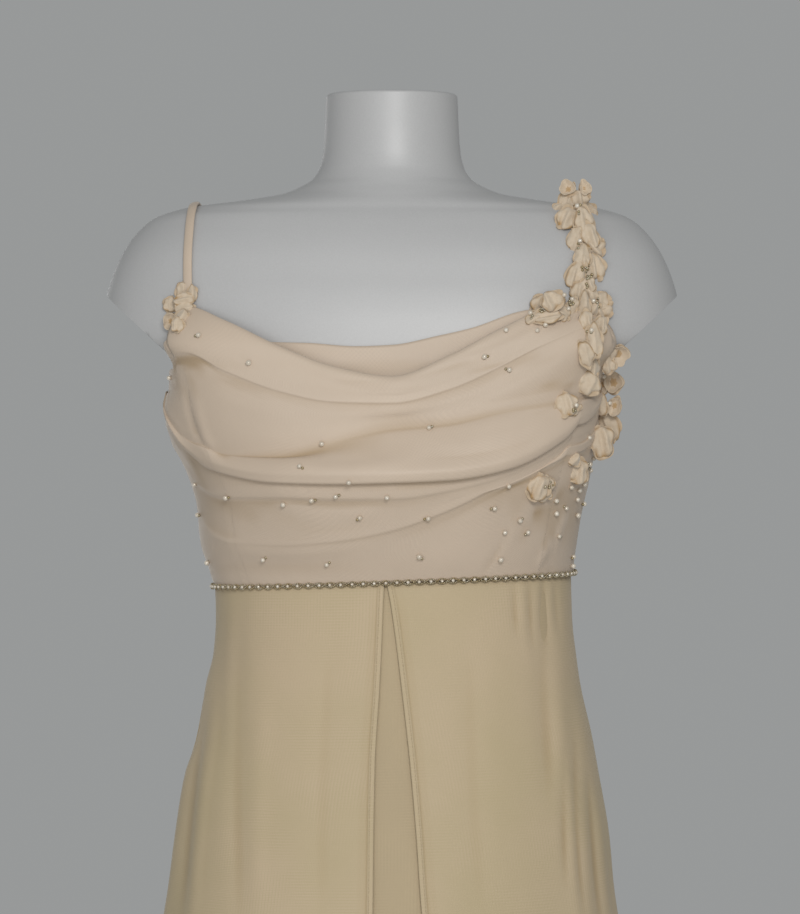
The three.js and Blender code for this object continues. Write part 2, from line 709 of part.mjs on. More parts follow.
// A cupped flower or petal on a surface, with its lobes round an outward axis. LOBE_DEPTH is how far the
// lobes part at the rim, CUP_CURVE how the cup steepens, and LOBE_LIFT how far their tips rise.
const LOBE_DEPTH = 0.1;
const LOBE_LIFT = 0.25;
const CUP_CURVE = 1.6;
const FLOWER_CORNERS = { 3: 9, 4: 9, 5: 10 };
const FLOWER_MIDDLE = 0.5;
const FLOWER_TOP = 0.98;
function flower(row, at, normal) {
  const across = new THREE.Vector3(0, 0, 1).cross(normal).normalize();
  const up = new THREE.Vector3().crossVectors(normal, across);
  const spot = (share, turn, height) => {
    const lobe = 1 - LOBE_DEPTH * share * (1 - Math.cos(row.petals * turn));
    const reach = row.radius * share * lobe;
    const rise = row.radius * row.cup * share ** CUP_CURVE * (1 + LOBE_LIFT * Math.cos(row.petals * turn));
    return at.clone()
      .addScaledVector(across, Math.cos(turn + rad(row.turn)) * reach)
      .addScaledVector(up, Math.sin(turn + rad(row.turn)) * reach * row.long)
      .addScaledVector(normal, rise + height);
  };
  const corners = FLOWER_CORNERS[row.petals];
  const ring = (share, height) => Array.from({ length: corners }, (_, k) => (
    spot(share, (k / corners) * Math.PI * 2, height)
  ));
  const low = row.lift;
  const high = row.lift + PETAL_WALL;
  const loops = [
    ring(FLOWER_MIDDLE, low),
    ring(1, low),
    ring(FLOWER_TOP, high),
    ring(FLOWER_MIDDLE, high),
  ];
  return rings(loops, spot(0, 0, low), spot(0, 0, high));
}

function chestFlower(row) {
  return flower(row, formPoint(row.x, row.z, 1, 0), formNormal(row.x, row.z, 1));
}

// The bodice's normal under a flower comes from points a little to each side of it.
const FLOWER_SPAN = { turn: rad(1.5), rise: 3 };
function bodiceFlower(row) {
  const angle = rad(row.angle);
  const point = (turn, z) => drapedPoint(angle + turn, z, drapeStops(angle + turn));
  const { turn, rise } = FLOWER_SPAN;
  const across = point(turn, row.z).sub(point(-turn, row.z));
  const up = point(0, row.z + rise).sub(point(0, row.z - rise));
  return flower(row, point(0, row.z), across.cross(up).normalize());
}

function formTorso(cutter) {
  const heights = FORM.map((row) => row.z);
  for (let i = FORM.length - 2; i > 0; i -= 1) {
    const { z } = FORM[i];
    if (z > SHOULDER_START && z < SHOULDER_END) heights.splice(i + 1, 0, (z + FORM[i + 1].z) / 2);
  }
  const loops = heights.map((z) => Array.from({ length: FORM_CORNERS }, (_, k) => {
    const angle = (k / FORM_CORNERS) * Math.PI * 2;
    const depth = read(FORM, 'z', Math.cos(angle) > 0 ? 'front' : 'back', z);
    const { x, y } = outline(angle, read(FORM, 'z', 'width', z), depth, read(FORM, 'z', 'square', z));
    return new THREE.Vector3(x, y, z);
  }));
  const top = new THREE.Vector3(0, 0, heights[heights.length - 1] + NECK_CROWN);
  return cutter(rings(loops, new THREE.Vector3(0, 0, FORM_BOTTOM), top));
}

// The wedge outside the flat cut across one arm stump.
function stumpWedge(side) {
  const { lowX, lowZ, highX, highZ, outX, depth } = STUMP_CUT;
  const shape = new THREE.Shape([
    new THREE.Vector2(side * lowX, lowZ),
    new THREE.Vector2(side * highX, highZ),
    new THREE.Vector2(side * outX, highZ),
    new THREE.Vector2(side * outX, lowZ),
  ]);
  const wedge = new THREE.ExtrudeGeometry(shape, { depth: depth * 2, bevelEnabled: false });
  return wedge.rotateX(Math.PI / 2).translate(0, depth, 0);
}

function upright(radius, height, corners, z) {
  return new THREE.CylinderGeometry(radius, radius, height, corners)
    .rotateX(Math.PI / 2)
    .translate(0, 0, z + height / 2);
}

const wasm = await Module();
wasm.setup();

const MERGE_DISTANCE = 1e-4;
function toSolid(geometry) {
  const plain = geometry.clone();
  plain.deleteAttribute('normal');
  plain.deleteAttribute('uv');
  const merged = mergeVertices(plain, MERGE_DISTANCE);
  return new wasm.Manifold(new wasm.Mesh({
    numProp: 3,
    vertProperties: merged.attributes.position.array,
    triVerts: new Uint32Array(merged.index.array),
  }));
}

function toGeometry(solid) {
  const mesh = solid.getMesh();
  const geometry = new THREE.BufferGeometry();
  geometry.setAttribute('position', new THREE.BufferAttribute(mesh.vertProperties, 3));
  geometry.setIndex(new THREE.BufferAttribute(mesh.triVerts, 1));
  geometry.computeVertexNormals();
  return geometry;
}

function cutStumps(torso) {
  const cut = toSolid(torso).subtract(toSolid(stumpWedge(1))).subtract(toSolid(stumpWedge(-1)));
  return toGeometry(cut);
}

// Finishes
const FINISHES = {
  bodice: { color: 0xd8c7b0, roughness: 0.55, metalness: 0 },
  skirt: { color: 0xd2c29e, roughness: 0.7, metalness: 0 },
  petal: { color: 0xdccab2, roughness: 0.65, metalness: 0 },
  beads: { color: 0x8f7a4c, roughness: 0.35, metalness: 0.6 },
  form: { color: 0xc9c9cb, roughness: 0.3, metalness: 0.1 },
  metal: { color: 0xb5b6b8, roughness: 0.3, metalness: 0.9 },
};

const gown = new THREE.Group();

function add(name, geometry, finish) {
  const mesh = new THREE.Mesh(geometry, new THREE.MeshStandardMaterial(FINISHES[finish]));
  mesh.name = name;
  gown.add(mesh);
}

add('form_torso', formTorso(cutStumps), 'form');
const collarBottom = FORM_BOTTOM - SEAM - COLLAR_HEIGHT;
add('form_collar', upright(COLLAR_RADIUS, COLLAR_HEIGHT, COLLAR_CORNERS, collarBottom), 'metal');
const poleBottom = BASE_HEIGHT + SEAM;
const poleHeight = collarBottom - SEAM - poleBottom;
add('form_pole', upright(POLE_RADIUS, poleHeight, POLE_CORNERS, poleBottom), 'metal');
add('form_base', upright(BASE_RADIUS, BASE_HEIGHT, BASE_CORNERS, 0), 'metal');

add('bodice_front', bodiceFront(), 'bodice');
add('neck_facing', neckFacing(), 'bodice');
add('bodice_back_left', bodiceBack(-1), 'bodice');
add('bodice_back_right', bodiceBack(1), 'bodice');
add('strap_plain', strap(PLAIN_STRAP, PLAIN_STRAP_SIZE), 'bodice');
add('strap_floral', strap(FLOWER_STRAP, FLOWER_STRAP_SIZE), 'petal');
add('bead_trim', beadTrim(), 'beads');

const outer = { columns: SKIRT_COLUMNS, insetAt: () => 0, hem: HEM_HEIGHT };
add('skirt_front_left', skirtPanel(atAngle(-90, SIDE_GAP), splitAngle('left'), outer), 'skirt');
add('skirt_front_right', skirtPanel(splitAngle('right'), atAngle(90, -SIDE_GAP), outer), 'skirt');
add('skirt_back_left', skirtPanel(atAngle(-180, SIDE_GAP), atAngle(-90, -SIDE_GAP), outer), 'skirt');
add('skirt_back_right', skirtPanel(atAngle(90, SIDE_GAP), atAngle(180, -SIDE_GAP), outer), 'skirt');
const under = {
  columns: UNDERSKIRT_COLUMNS,
  insetAt: underskirtInset,
  hem: HEM_HEIGHT + UNDERSKIRT_HEM_RISE,
};
add('underskirt_front', skirtPanel(atAngle(-90, SIDE_GAP), atAngle(90, -SIDE_GAP), under), 'skirt');
add('underskirt_back', skirtPanel(atAngle(90, SIDE_GAP), atAngle(270, -SIDE_GAP), under), 'skirt');

for (const row of CHEST_FLOWERS) {
  add(row.name, chestFlower(row), 'petal');
}
for (const row of BODICE_FLOWERS) {
  add(row.name, bodiceFlower(row), 'petal');
}

export default gown;
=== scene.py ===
import json
import math
import random

import bmesh
import bpy
import numpy as np
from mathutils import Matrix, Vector
from mathutils.bvhtree import BVHTree

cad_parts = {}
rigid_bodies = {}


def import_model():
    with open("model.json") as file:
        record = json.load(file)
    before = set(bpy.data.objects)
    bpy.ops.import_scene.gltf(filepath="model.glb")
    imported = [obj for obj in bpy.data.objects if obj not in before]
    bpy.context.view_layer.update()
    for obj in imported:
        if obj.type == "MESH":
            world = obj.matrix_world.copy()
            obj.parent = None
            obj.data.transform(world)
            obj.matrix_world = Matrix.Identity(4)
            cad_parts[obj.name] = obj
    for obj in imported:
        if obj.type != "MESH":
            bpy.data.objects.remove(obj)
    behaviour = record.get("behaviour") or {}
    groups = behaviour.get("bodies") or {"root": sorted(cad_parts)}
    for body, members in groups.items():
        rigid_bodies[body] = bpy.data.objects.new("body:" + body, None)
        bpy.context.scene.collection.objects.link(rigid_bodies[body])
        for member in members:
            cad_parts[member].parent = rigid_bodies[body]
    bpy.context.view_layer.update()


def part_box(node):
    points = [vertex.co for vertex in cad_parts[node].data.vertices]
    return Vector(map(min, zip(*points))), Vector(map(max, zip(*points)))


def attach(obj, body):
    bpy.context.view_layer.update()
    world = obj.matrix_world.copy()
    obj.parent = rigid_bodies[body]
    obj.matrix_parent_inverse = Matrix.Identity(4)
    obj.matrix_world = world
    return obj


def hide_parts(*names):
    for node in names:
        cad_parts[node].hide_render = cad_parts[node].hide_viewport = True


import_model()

bl_info = {
    "name": "Draped evening gown on a dress form",
    "version": (1, 0, 0),
    "blender": (4, 5, 0),
    "location": "3D View > Sidebar > Gown",
    "description": "A cowl-draped gown with a flowered strap, beads and a split skirt, dressed on its form",
    "category": "Object",
}

MM = 0.001
BODY = "root"

# The photograph's frame: its scale on the plane through the form's middle, and the camera that saw it.
MM_PER_PIXEL = 0.75
MIDDLE_COLUMN = 392.0
NECK_TOP_ROW = 95.0
NECK_TOP = 1500.0
PICTURE_SIZE = (800, 914)
CAMERA_DISTANCE = 3.2
SENSOR = 36.0


def table(columns, rows):
    """Rows of numbers under named columns, as one array for each column."""
    names = columns.split()
    return {name: np.array([row[i] for row in rows]) for i, name in enumerate(names)}


# The dress form by height: half width, depth in front and behind, and how square the outline is.
FORM = table("z width front back square", [
    (780, 140, 88, 92, 2.2),
    (860, 152, 97, 104, 2.2),
    (930, 152, 99, 104, 2.2),
    (1000, 131, 90, 90, 2.2),
    (1075, 112, 82, 76, 2.2),
    (1136, 122, 92, 80, 2.2),
    (1180, 130, 106, 84, 2.3),
    (1230, 136, 116, 88, 2.6),
    (1270, 143, 113, 92, 3.1),
    (1294, 150, 107, 94, 3.5),
    (1298, 157, 106.5, 94, 3.3),
    (1304, 188, 106, 94, 2.6),
    (1310, 202, 105, 93.5, 2.5),
    (1317, 211, 103.8, 93, 2.5),
    (1330, 215, 102, 92, 2.5),
    (1348, 213.5, 98, 89, 2.5),
    (1361, 210, 94, 86, 2.5),
    (1378, 203, 88.5, 81, 2.5),
    (1391, 195, 83, 76, 2.4),
    (1402, 185, 77, 71, 2.3),
    (1408, 176, 73, 68, 2.3),
    (1412, 165, 70, 66, 2.2),
    (1415.5, 150, 68, 64.5, 2.2),
    (1418.6, 123, 66, 63, 2.2),
    (1422, 100, 63.5, 61, 2.1),
    (1425, 83, 61.5, 59.5, 2.1),
    (1430, 70, 58, 57, 2.1),
    (1436, 60, 55, 54, 2.0),
    (1444, 54.5, 52, 51.5, 2.0),
    (1456, 51.5, 50, 50, 2.0),
    (1476, 50, 49, 49, 2.0),
    (1498.5, 49, 49, 49, 2.0),
    (1500, 47.5, 47.5, 47.5, 2.0),
])
STUMP_CUT = ((156.5, 1297.0), (216.0, 1351.6))
STUMP_EDGE = 1.6
NECK_CROWN = 1.2
# The form's points round a section, and the height between its rows below and above the shoulders' turn.
FORM_CORNERS = 160
SHOULDER_START = 1400
FORM_ROW = 4
SHOULDER_ROW = 1.2

# The bodice without its folds: half widths to the left and right, depths and squareness.
BODICE = table("z left right front back square", [
    (1131, 133, 136, 98, 86, 2.2),
    (1145, 137, 136, 100, 87, 2.2),
    (1163, 143, 138, 105, 88, 2.25),
    (1193, 146, 143, 114, 90, 2.3),
    (1205, 149, 146, 117, 91, 2.35),
    (1226, 157, 150, 120.5, 92, 2.5),
    (1241, 165, 152, 121, 94, 2.7),
    (1262, 169, 153.5, 119, 97, 3.1),
    (1280, 165.5, 154, 115.5, 99, 3.8),
    (1294, 165, 158, 112.5, 99.5, 4.6),
    (1313, 174, 169, 108.5, 99.5, 5.6),
    (1343, 168, 162, 98, 97, 4),
])
BAND_HEIGHT = 1137.0
BAND_SLOPE = 0.038
ARMHOLE_ANGLE = 50.0
SIDE_SEAM = 90.0
SEAM_EDGE_RISE = 4.0
FORM_CLEARANCE = 3.2

# Heights of the drape's lines across the front, as on the solids.
DRAPE_LINES = table("x edge roll hollow swag lap pull", [
    (-163, 1313, 1304, 1284, 1262, 1220, 1190),
    (-150, 1339, 1306, 1252, 1236, 1205, 1181),
    (-120, 1328, 1293, 1236, 1218, 1200, 1167),
    (-80, 1309, 1278, 1234, 1211, 1200, 1165),
    (-40, 1294, 1270, 1241, 1210, 1199, 1168),
    (0, 1287, 1269, 1249, 1211, 1199, 1176),
    (40, 1302, 1279, 1253, 1213, 1205, 1191),
    (80, 1323, 1297, 1262, 1221, 1216, 1211),
    (120, 1340, 1317, 1270, 1242, 1236, 1228),
    (145, 1343, 1326, 1280, 1269, 1262, 1248),
    (155, 1316, 1304, 1282, 1272, 1264, 1250),
])
SEAM_LINES = {
    -1: {"edge": 1290, "roll": 1288, "hollow": 1287, "swag": 1285, "lap": 1228, "pull": 1196},
    1: {"edge": 1292, "roll": 1291, "hollow": 1289, "swag": 1287, "lap": 1275, "pull": 1262},
}
SEAM_REACH = {"edge": 57, "roll": 78, "hollow": 78, "swag": 78, "lap": 90, "pull": 90}

# The drape from top to bottom: a line, how far below it, the cloth's lift at five places across, the rows
# down to the next stop, and tuck = 1 where the cloth goes back up under the fold above.
DRAPE = [
    # line, below, far left, left, middle, right, far right, rows, tuck
    ("edge", 9, -1.4, 1, 5.5, 1, -1.4, 3, 0),
    ("edge", 2.5, -1.4, 1.5, 6.5, 1.5, -1.4, 3, 1),
    ("edge", 0, 0.0, 5.6, 11.5, 5.4, 0.0, 3, 1),
    ("edge", 3.5, 0.8, 8.4, 14.6, 7.6, 0.6, 5, 0),
    ("edge", 11, 1.8, 8.8, 14.8, 8.0, 1.4, 5, 0),
    ("roll", -3.5, 3.4, 9.2, 14.8, 9, 3.4, 4, 0),
    ("roll", 1.0, 3.6, 9.4, 14.6, 9.2, 3.6, 4, 0),
    ("roll", 3.0, 3.0, 8.2, 13.0, 8.2, 3.0, 4, 0),
    ("roll", 8, 2.6, 7.4, 11.4, 7.4, 2.6, 9, 0),
    ("hollow", -7, 4.6, 6.4, 8.8, 6.8, 3.4, 5, 0),
    ("hollow", 0, 6.0, 6.4, 7.4, 6.2, 4, 5, 0),
    ("hollow", 6, 6.4, 7.4, 10.5, 9.5, 5, 4, 0),
    ("swag", -17, 8, 13, 20, 18, 9, 7, 0),
    ("swag", -5, 10.5, 21.5, 27.5, 24, 12, 5, 0),
    ("swag", 0.0, 10, 21.5, 27, 23, 11.5, 4, 0),
    ("swag", 1.4, 8, 19, 24.6, 20.4, 9.6, 4, 0),
    ("swag", -1.0, 6, 15.6, 21, 17, 7.6, 4, 1),
    ("lap", -4, 6, 15.8, 19.6, 14.6, 6.4, 4, 0),
    ("lap", 0.2, 6, 15.4, 18.8, 13.8, 6.2, 3, 0),
    ("lap", 2.4, 5, 13.6, 17.0, 12.8, 5.6, 4, 0),
    ("lap", 6.5, 4.2, 12.2, 15.6, 12.2, 5.2, 5, 0),
    ("pull", -5, 3.2, 9, 13.8, 12.8, 8.6, 4, 0),
    ("pull", 0.3, 3.2, 8.6, 13.2, 12.6, 8.6, 3, 0),
    ("pull", 2.2, 2.8, 7.8, 11.9, 10.8, 6.8, 4, 0),
    ("pull", 7, 2.2, 7, 10.6, 9.4, 5.6, 10, 0),
    ("band", -14, 1.0, 4, 6.4, 5, 2.6, 6, 0),
    ("band", 0, 0, 0.4, 0.5, 0.3, 0, 1, 0),
]
LIFT_PLACES = (-0.92, -0.5, 0.0, 0.5, 0.92)
# The least height between two rows, how near they come before the upper one's lift takes over, and how far a
# tuck goes back up.
ROW_GAP = 0.9
CLOSE_ROWS = 4.0
TUCK_RISE = 7.0
# How much the folds calm down towards the side seams, and between which angles.
SIDE_CALM = 0.85
SIDE_CALM_ANGLES = (55, 88)
# How many places across each stop's lift is smoothed over.
LIFT_BLUR = 9

# Soft creases on the front, from one place to another in the photograph, with half width and depth in
# millimetres. A depth above zero is a ridge.
FRONT_CREASES = [
    # from column, row, to column, row, half width, depth
    (566, 483, 500, 553, 3.2, 1.6),
    (560, 496, 484, 572, 2.6, -1.1),
    (554, 540, 538, 568, 2.6, 1.2),
    (568, 511, 556, 551, 2.4, 1.0),
    (199, 526, 240, 545, 4.0, 0.8),
    (214, 503, 262, 518, 5.0, -0.4),
    (205, 380, 300, 420, 5.0, 0.4),
    (182, 360, 260, 398, 3.5, -0.4),
    (300, 372, 430, 392, 2.6, 0.3),
    (330, 380, 470, 360, 2.2, -0.3),
    (455, 362, 560, 312, 2.8, 0.6),
    (470, 372, 572, 322, 2.6, -0.5),
    (500, 392, 574, 352, 3.2, 0.6),
    (480, 404, 574, 372, 3.0, -0.5),
    (520, 432, 584, 386, 3.0, 0.7),
    (430, 446, 560, 420, 5.0, 0.8),
    (196, 398, 214, 452, 3.2, 1.0),
    (186, 392, 203, 446, 2.4, -0.9),
    (260, 462, 420, 456, 5.0, 0.9),
    (280, 508, 380, 512, 4.0, 0.8),
]

# Soft folds hanging in the skirt, in the same way: small gathers under the band at the right, and long side
# folds.
SKIRT_CREASES = [
    # from column, row, to column, row, half width, depth
    (515, 580, 516, 634, 3.2, -0.6),
    (523, 580, 524, 626, 3.2, 0.5),
    (531, 580, 533, 650, 3.4, -0.8),
    (545, 580, 547, 640, 3.2, -1.3),
    (556, 580, 559, 634, 2.8, -0.9),
    (545, 590, 551, 790, 8.0, -1.7),
    (560, 610, 566, 800, 7.0, 0.8),
    (568, 720, 566, 880, 4.0, -1.3),
    (575, 735, 586, 925, 3.8, -1.8),
    (590, 760, 602, 925, 3.6, -1.6),
    (203, 700, 180, 925, 4.2, -2.0),
    (214, 715, 192, 925, 4.6, 1.2),
    (222, 600, 219, 760, 5.0, -0.9),
    (240, 590, 239, 925, 7.0, -1.1),
    (262, 690, 258, 925, 8.0, 0.9),
    (330, 640, 322, 925, 10.0, -0.8),
    (470, 640, 482, 925, 10.0, -0.8),
]
# How much a crease on the bodice and on the skirt bows, as a share of its run, and between which shares of
# its run it comes in and dies away.
FRONT_BOW = 0.06
SKIRT_BOW = 0.01
CREASE_START = (-0.15, 0.25)
CREASE_END = (0.7, 1.15)

# The folds on the skirt's back: an angle round from the front, the heights where each starts and ends, its
# half width and depth in millimetres.
BACK_FOLDS = [
    (-168, 1120, 820, 4.0, -1.8),
    (-157, 1128, 900, 3.2, 1.4),
    (-139, 1125, 860, 3.6, -1.6),
    (-118, 1110, 700, 4.4, -2.0),
    (-104, 1128, 980, 2.6, -1.2),
    (109, 1128, 940, 2.8, -1.4),
    (121, 1120, 760, 4.2, -1.9),
    (137, 1128, 880, 3.4, 1.5),
    (150, 1125, 840, 3.8, -1.7),
    (166, 1118, 800, 4.2, 1.3),
]
# How far below and above its top and its low end a back fold fades, and the drop over which it grows twice as
# wide.
FOLD_TOP_FADE = (12, 8)
FOLD_LOW_FADE = (120, 60)
FOLD_SPREAD = 260

# The top edge of the layer behind the neckline, how far it runs down and how far it stands off the form.
FACING_EDGE = table("x z", [
    (-124, 1325),
    (-88, 1312),
    (-60, 1311),
    (-26, 1308.5),
    (0, 1309.5),
    (35, 1316.5),
    (58, 1322),
    (93, 1334),
    (116, 1338),
])
FACING_DROP = 30
FACING_LIFT = 1.9
BACK_EDGE = table("angle z", [
    (90, 1290),
    (120, 1282),
    (150, 1268),
    (180, 1262),
])

# The skirt by height, its soft flutes and the edges of its two front panels, as on the solids.
SKIRT = table("z left right front back", [
    (25, 310, 312, 262, 278),
    (200, 287, 288, 240, 254),
    (350, 262, 263, 216, 230),
    (500, 236, 237, 190, 204),
    (650, 209, 210, 165, 178),
    (800, 183, 184, 142, 152),
    (907, 165, 165, 127, 131),
    (946, 160.5, 162, 121, 124),
    (991, 154, 155, 114, 116),
    (1019, 146, 150, 109, 109),
    (1059, 139, 141, 104, 99),
    (1080, 134, 138, 102, 95),
    (1106, 132, 135, 100, 90),
    (1143, 133, 134, 98, 86),
])
SKIRT_SQUARENESS = 2.2
HEM_HEIGHT = 25.0
# How the rows of a skirt panel crowd towards the band, and how far its top edge stays below the bodice's lower
# edge.
ROW_CROWDING = 1.15
BAND_GAP = 0.3
# A front panel's turn in degrees, and the angle that its span is read at.
PANEL_SPAN = 70
PANEL_MIDDLE = 30
FLUTES = [
    # angle round from the front centre, width, depth at the hem, height where it starts
    (-172, 8, 20, 1115),
    (-148, 9, 20, 1100),
    (-124, 9, 19, 1090),
    (-101, 8, 17, 1080),
    (-80, 7, 17, 1110),
    (-58, 8, 15, 940),
    (-38, 8, 15, 840),
    (-19, 7, 13, 720),
    (14, 7, 12, 700),
    (34, 8, 14, 820),
    (54, 7, 15, 1130),
    (68, 6, 15, 1060),
    (82, 6, 15, 1000),
    (104, 8, 18, 1090),
    (127, 9, 19, 1100),
    (151, 9, 20, 1100),
    (176, 8, 20, 1115),
]
FLUTE_SHARE = 0.9
FLUTE_GROWTH = 0.9
SPLIT = table("z left right", [
    (25, -46, 115),
    (907, -13.5, 21),
    (957, -13, 17.5),
    (1008, -12, 13),
    (1057, -9, 7.5),
    (1098, -7, 2.5),
    (1124, -6, -1.3),
    (1140, -5, -4.4),
])
# How far the trim's middle line stands off the cloth, how far its loops weave in and out, and its pearls'
# size as a share of a single pearl's.
TRIM_OUT = 1.9
TRIM_WEAVE = 0.4
TRIM_PEARL = 0.62
# How far the underskirt lies inside the outer one at the band and at the hem, and how much higher its hem is.
UNDERSKIRT_INSETS = (1.6, 9.0)
UNDER_HEM_RISE = 12.0
# How often a line's height and the cloth's width there are worked out from each other.
LINE_PASSES = 6

# Soft tension creases on a back panel: each one's place from the side seam to the centre back, how steeply it
# runs, its height, how far it reaches, its half width and depth.
BACK_CREASES = [
    (0.12, 60, 1236, 0.16, 3.0, -0.7),
    (0.16, 52, 1222, 0.2, 3.4, 0.8),
    (0.2, 34, 1204, 0.22, 3.0, -0.6),
    (0.3, -18, 1176, 0.26, 4.0, 0.7),
    (0.55, 12, 1160, 0.3, 3.2, -0.5),
    (0.72, -14, 1190, 0.22, 4.5, 0.6),
    (0.82, 20, 1228, 0.2, 4.0, -0.5),
]
# How far a back panel's cloth sinks at a seam, and the sunk strip's half width, which is SEAM_STRIP of
# SEAM_PARTS parts of the panel's width.
SEAM_PARTS = 150
SEAM_SINK = 0.5
SEAM_STRIP = 1.6
# Half the gap between two panels at a seam, in degrees round the gown.
SEAM_TURN = 0.03

# The surroundings that make a hollow, in rows or columns of a panel, the depth in millimetres that gets the
# full painted crease shade, and how strong that painted shade is.
HOLLOW_REACHES = (2, 5)
HOLLOW_DEPTH = 1.6
HOLLOW_SHADE = 0.55
ALL_WAYS = ((-1, 0), (1, 0), (0, -1), (0, 1))
ACROSS = ((0, -1), (0, 1))

# How far a flower's first petal stands off the cloth, and each next one off the last. Each petal is two
# layers of chiffon, somewhat larger than the petal's size below.
PETAL_LIFT = 0.9
PETAL_LAYER = 0.7
UNDER_LAYER_DROP = 0.6 * PETAL_LAYER
UNDER_PETAL = 1.3
UPPER_PETAL = 1.2
# The ways a petal is shaped.
PUFFED = 0
CUPPED = 1
FOLDED = 2
UNDER_LAYER = 3
# The points across and along a petal, and how far it leans by chance.
PETAL_POINTS = 19
PETAL_LEAN = 0.3
# How much a petal turns with the cloth under it, on the cloth and where it stands out past the cloth's
# edge, and how far the cloth under a petal may lie from its flower's middle.
SEAT_TILT = 0.7
LOOSE_TILT = 0.25
SEAT_REACH = 16 * MM

# The narrow turned hem's section: shares of its width from the edge, and how far it stands out.
HEM_FOLD = ((0.0, 0.1), (0.08, 0.5), (0.3, 0.62), (0.7, 0.62), (0.92, 0.5), (1.0, 0.0))
# The split's stitching: how far it keeps from the turned hem's inner edge, and off the cloth. The skirt hem's:
# how far above the edge, and off the cloth. The distance between stitches is a multiple of their length.
STITCH_INSET = 0.7
STITCH_LIFT = 0.75
HEM_STITCH_RISE = 9
HEM_STITCH_LIFT = 0.15
STITCH_PITCH = 1.35

# The straps' routes over the shoulders: across, height, 1 where it runs down the back, and how far it stands
# off besides STRAP_LIFT and half its thickness. Their sizes are width and thickness.
STRAP_LIFT = 0.7
STRAP_STEPS = 120
STRAP_CORNERS = 16
PLAIN_STRAP_SIZE = (7.0, 2.6)
FLOWER_STRAP_SIZE = (10.0, 2.4)
PLAIN_STRAP = table("x z behind off", [
    (-147.2, 1338.4, 0, 0),
    (-148.5, 1352, 0, 0),
    (-149, 1366, 0, 0),
    (-149, 1380, 0, 0),
    (-148.5, 1393, 0, 0),
    (-148, 1403, 0, 0),
    (-147.5, 1410, 0, 0),
    (-147, 1413.6, 0, 0),
    (-146.8, 1415.2, 0, 0),
    (-146.6, 1415.9, 0, 0),
    (-146.4, 1415.2, 1, 0),
    (-146, 1413.6, 1, 0),
    (-145, 1408, 1, 0),
    (-143, 1398, 1, 0),
    (-140, 1384, 1, 0),
    (-136, 1366, 1, 0),
    (-131, 1345, 1, 0.6),
    (-127, 1324, 1, 2.4),
    (-122.5, 1304, 1, 5),
    (-117.5, 1290, 1, 8),
    (-114.7, 1277.6, 1, 10.7),
])
FLOWER_STRAP = table("x z behind off", [
    (141, 1343.8, 0, 0),
    (141.5, 1356, 0, 0),
    (141.5, 1370, 0, 0),
    (141, 1384, 0, 0),
    (140, 1396, 0, 0),
    (139, 1406, 0, 0),
    (138, 1412.5, 0, 0),
    (137.4, 1415.4, 0, 0),
    (137, 1416.5, 0, 0),
    (137, 1417, 0, 0),
    (137, 1416.5, 1, 0),
    (136.9, 1415.4, 1, 0),
    (136.7, 1412.5, 1, 0),
    (136.3, 1407.5, 1, 0),
    (135.5, 1400, 1, 0),
    (133.5, 1386, 1, 0),
    (131, 1368, 1, 0),
    (127.5, 1347, 1, 0.6),
    (123.5, 1325, 1, 2.2),
    (119.5, 1304, 1, 4.5),
    (116.5, 1288, 1, 7.5),
    (114.5, 1272.6, 1, 10),
])

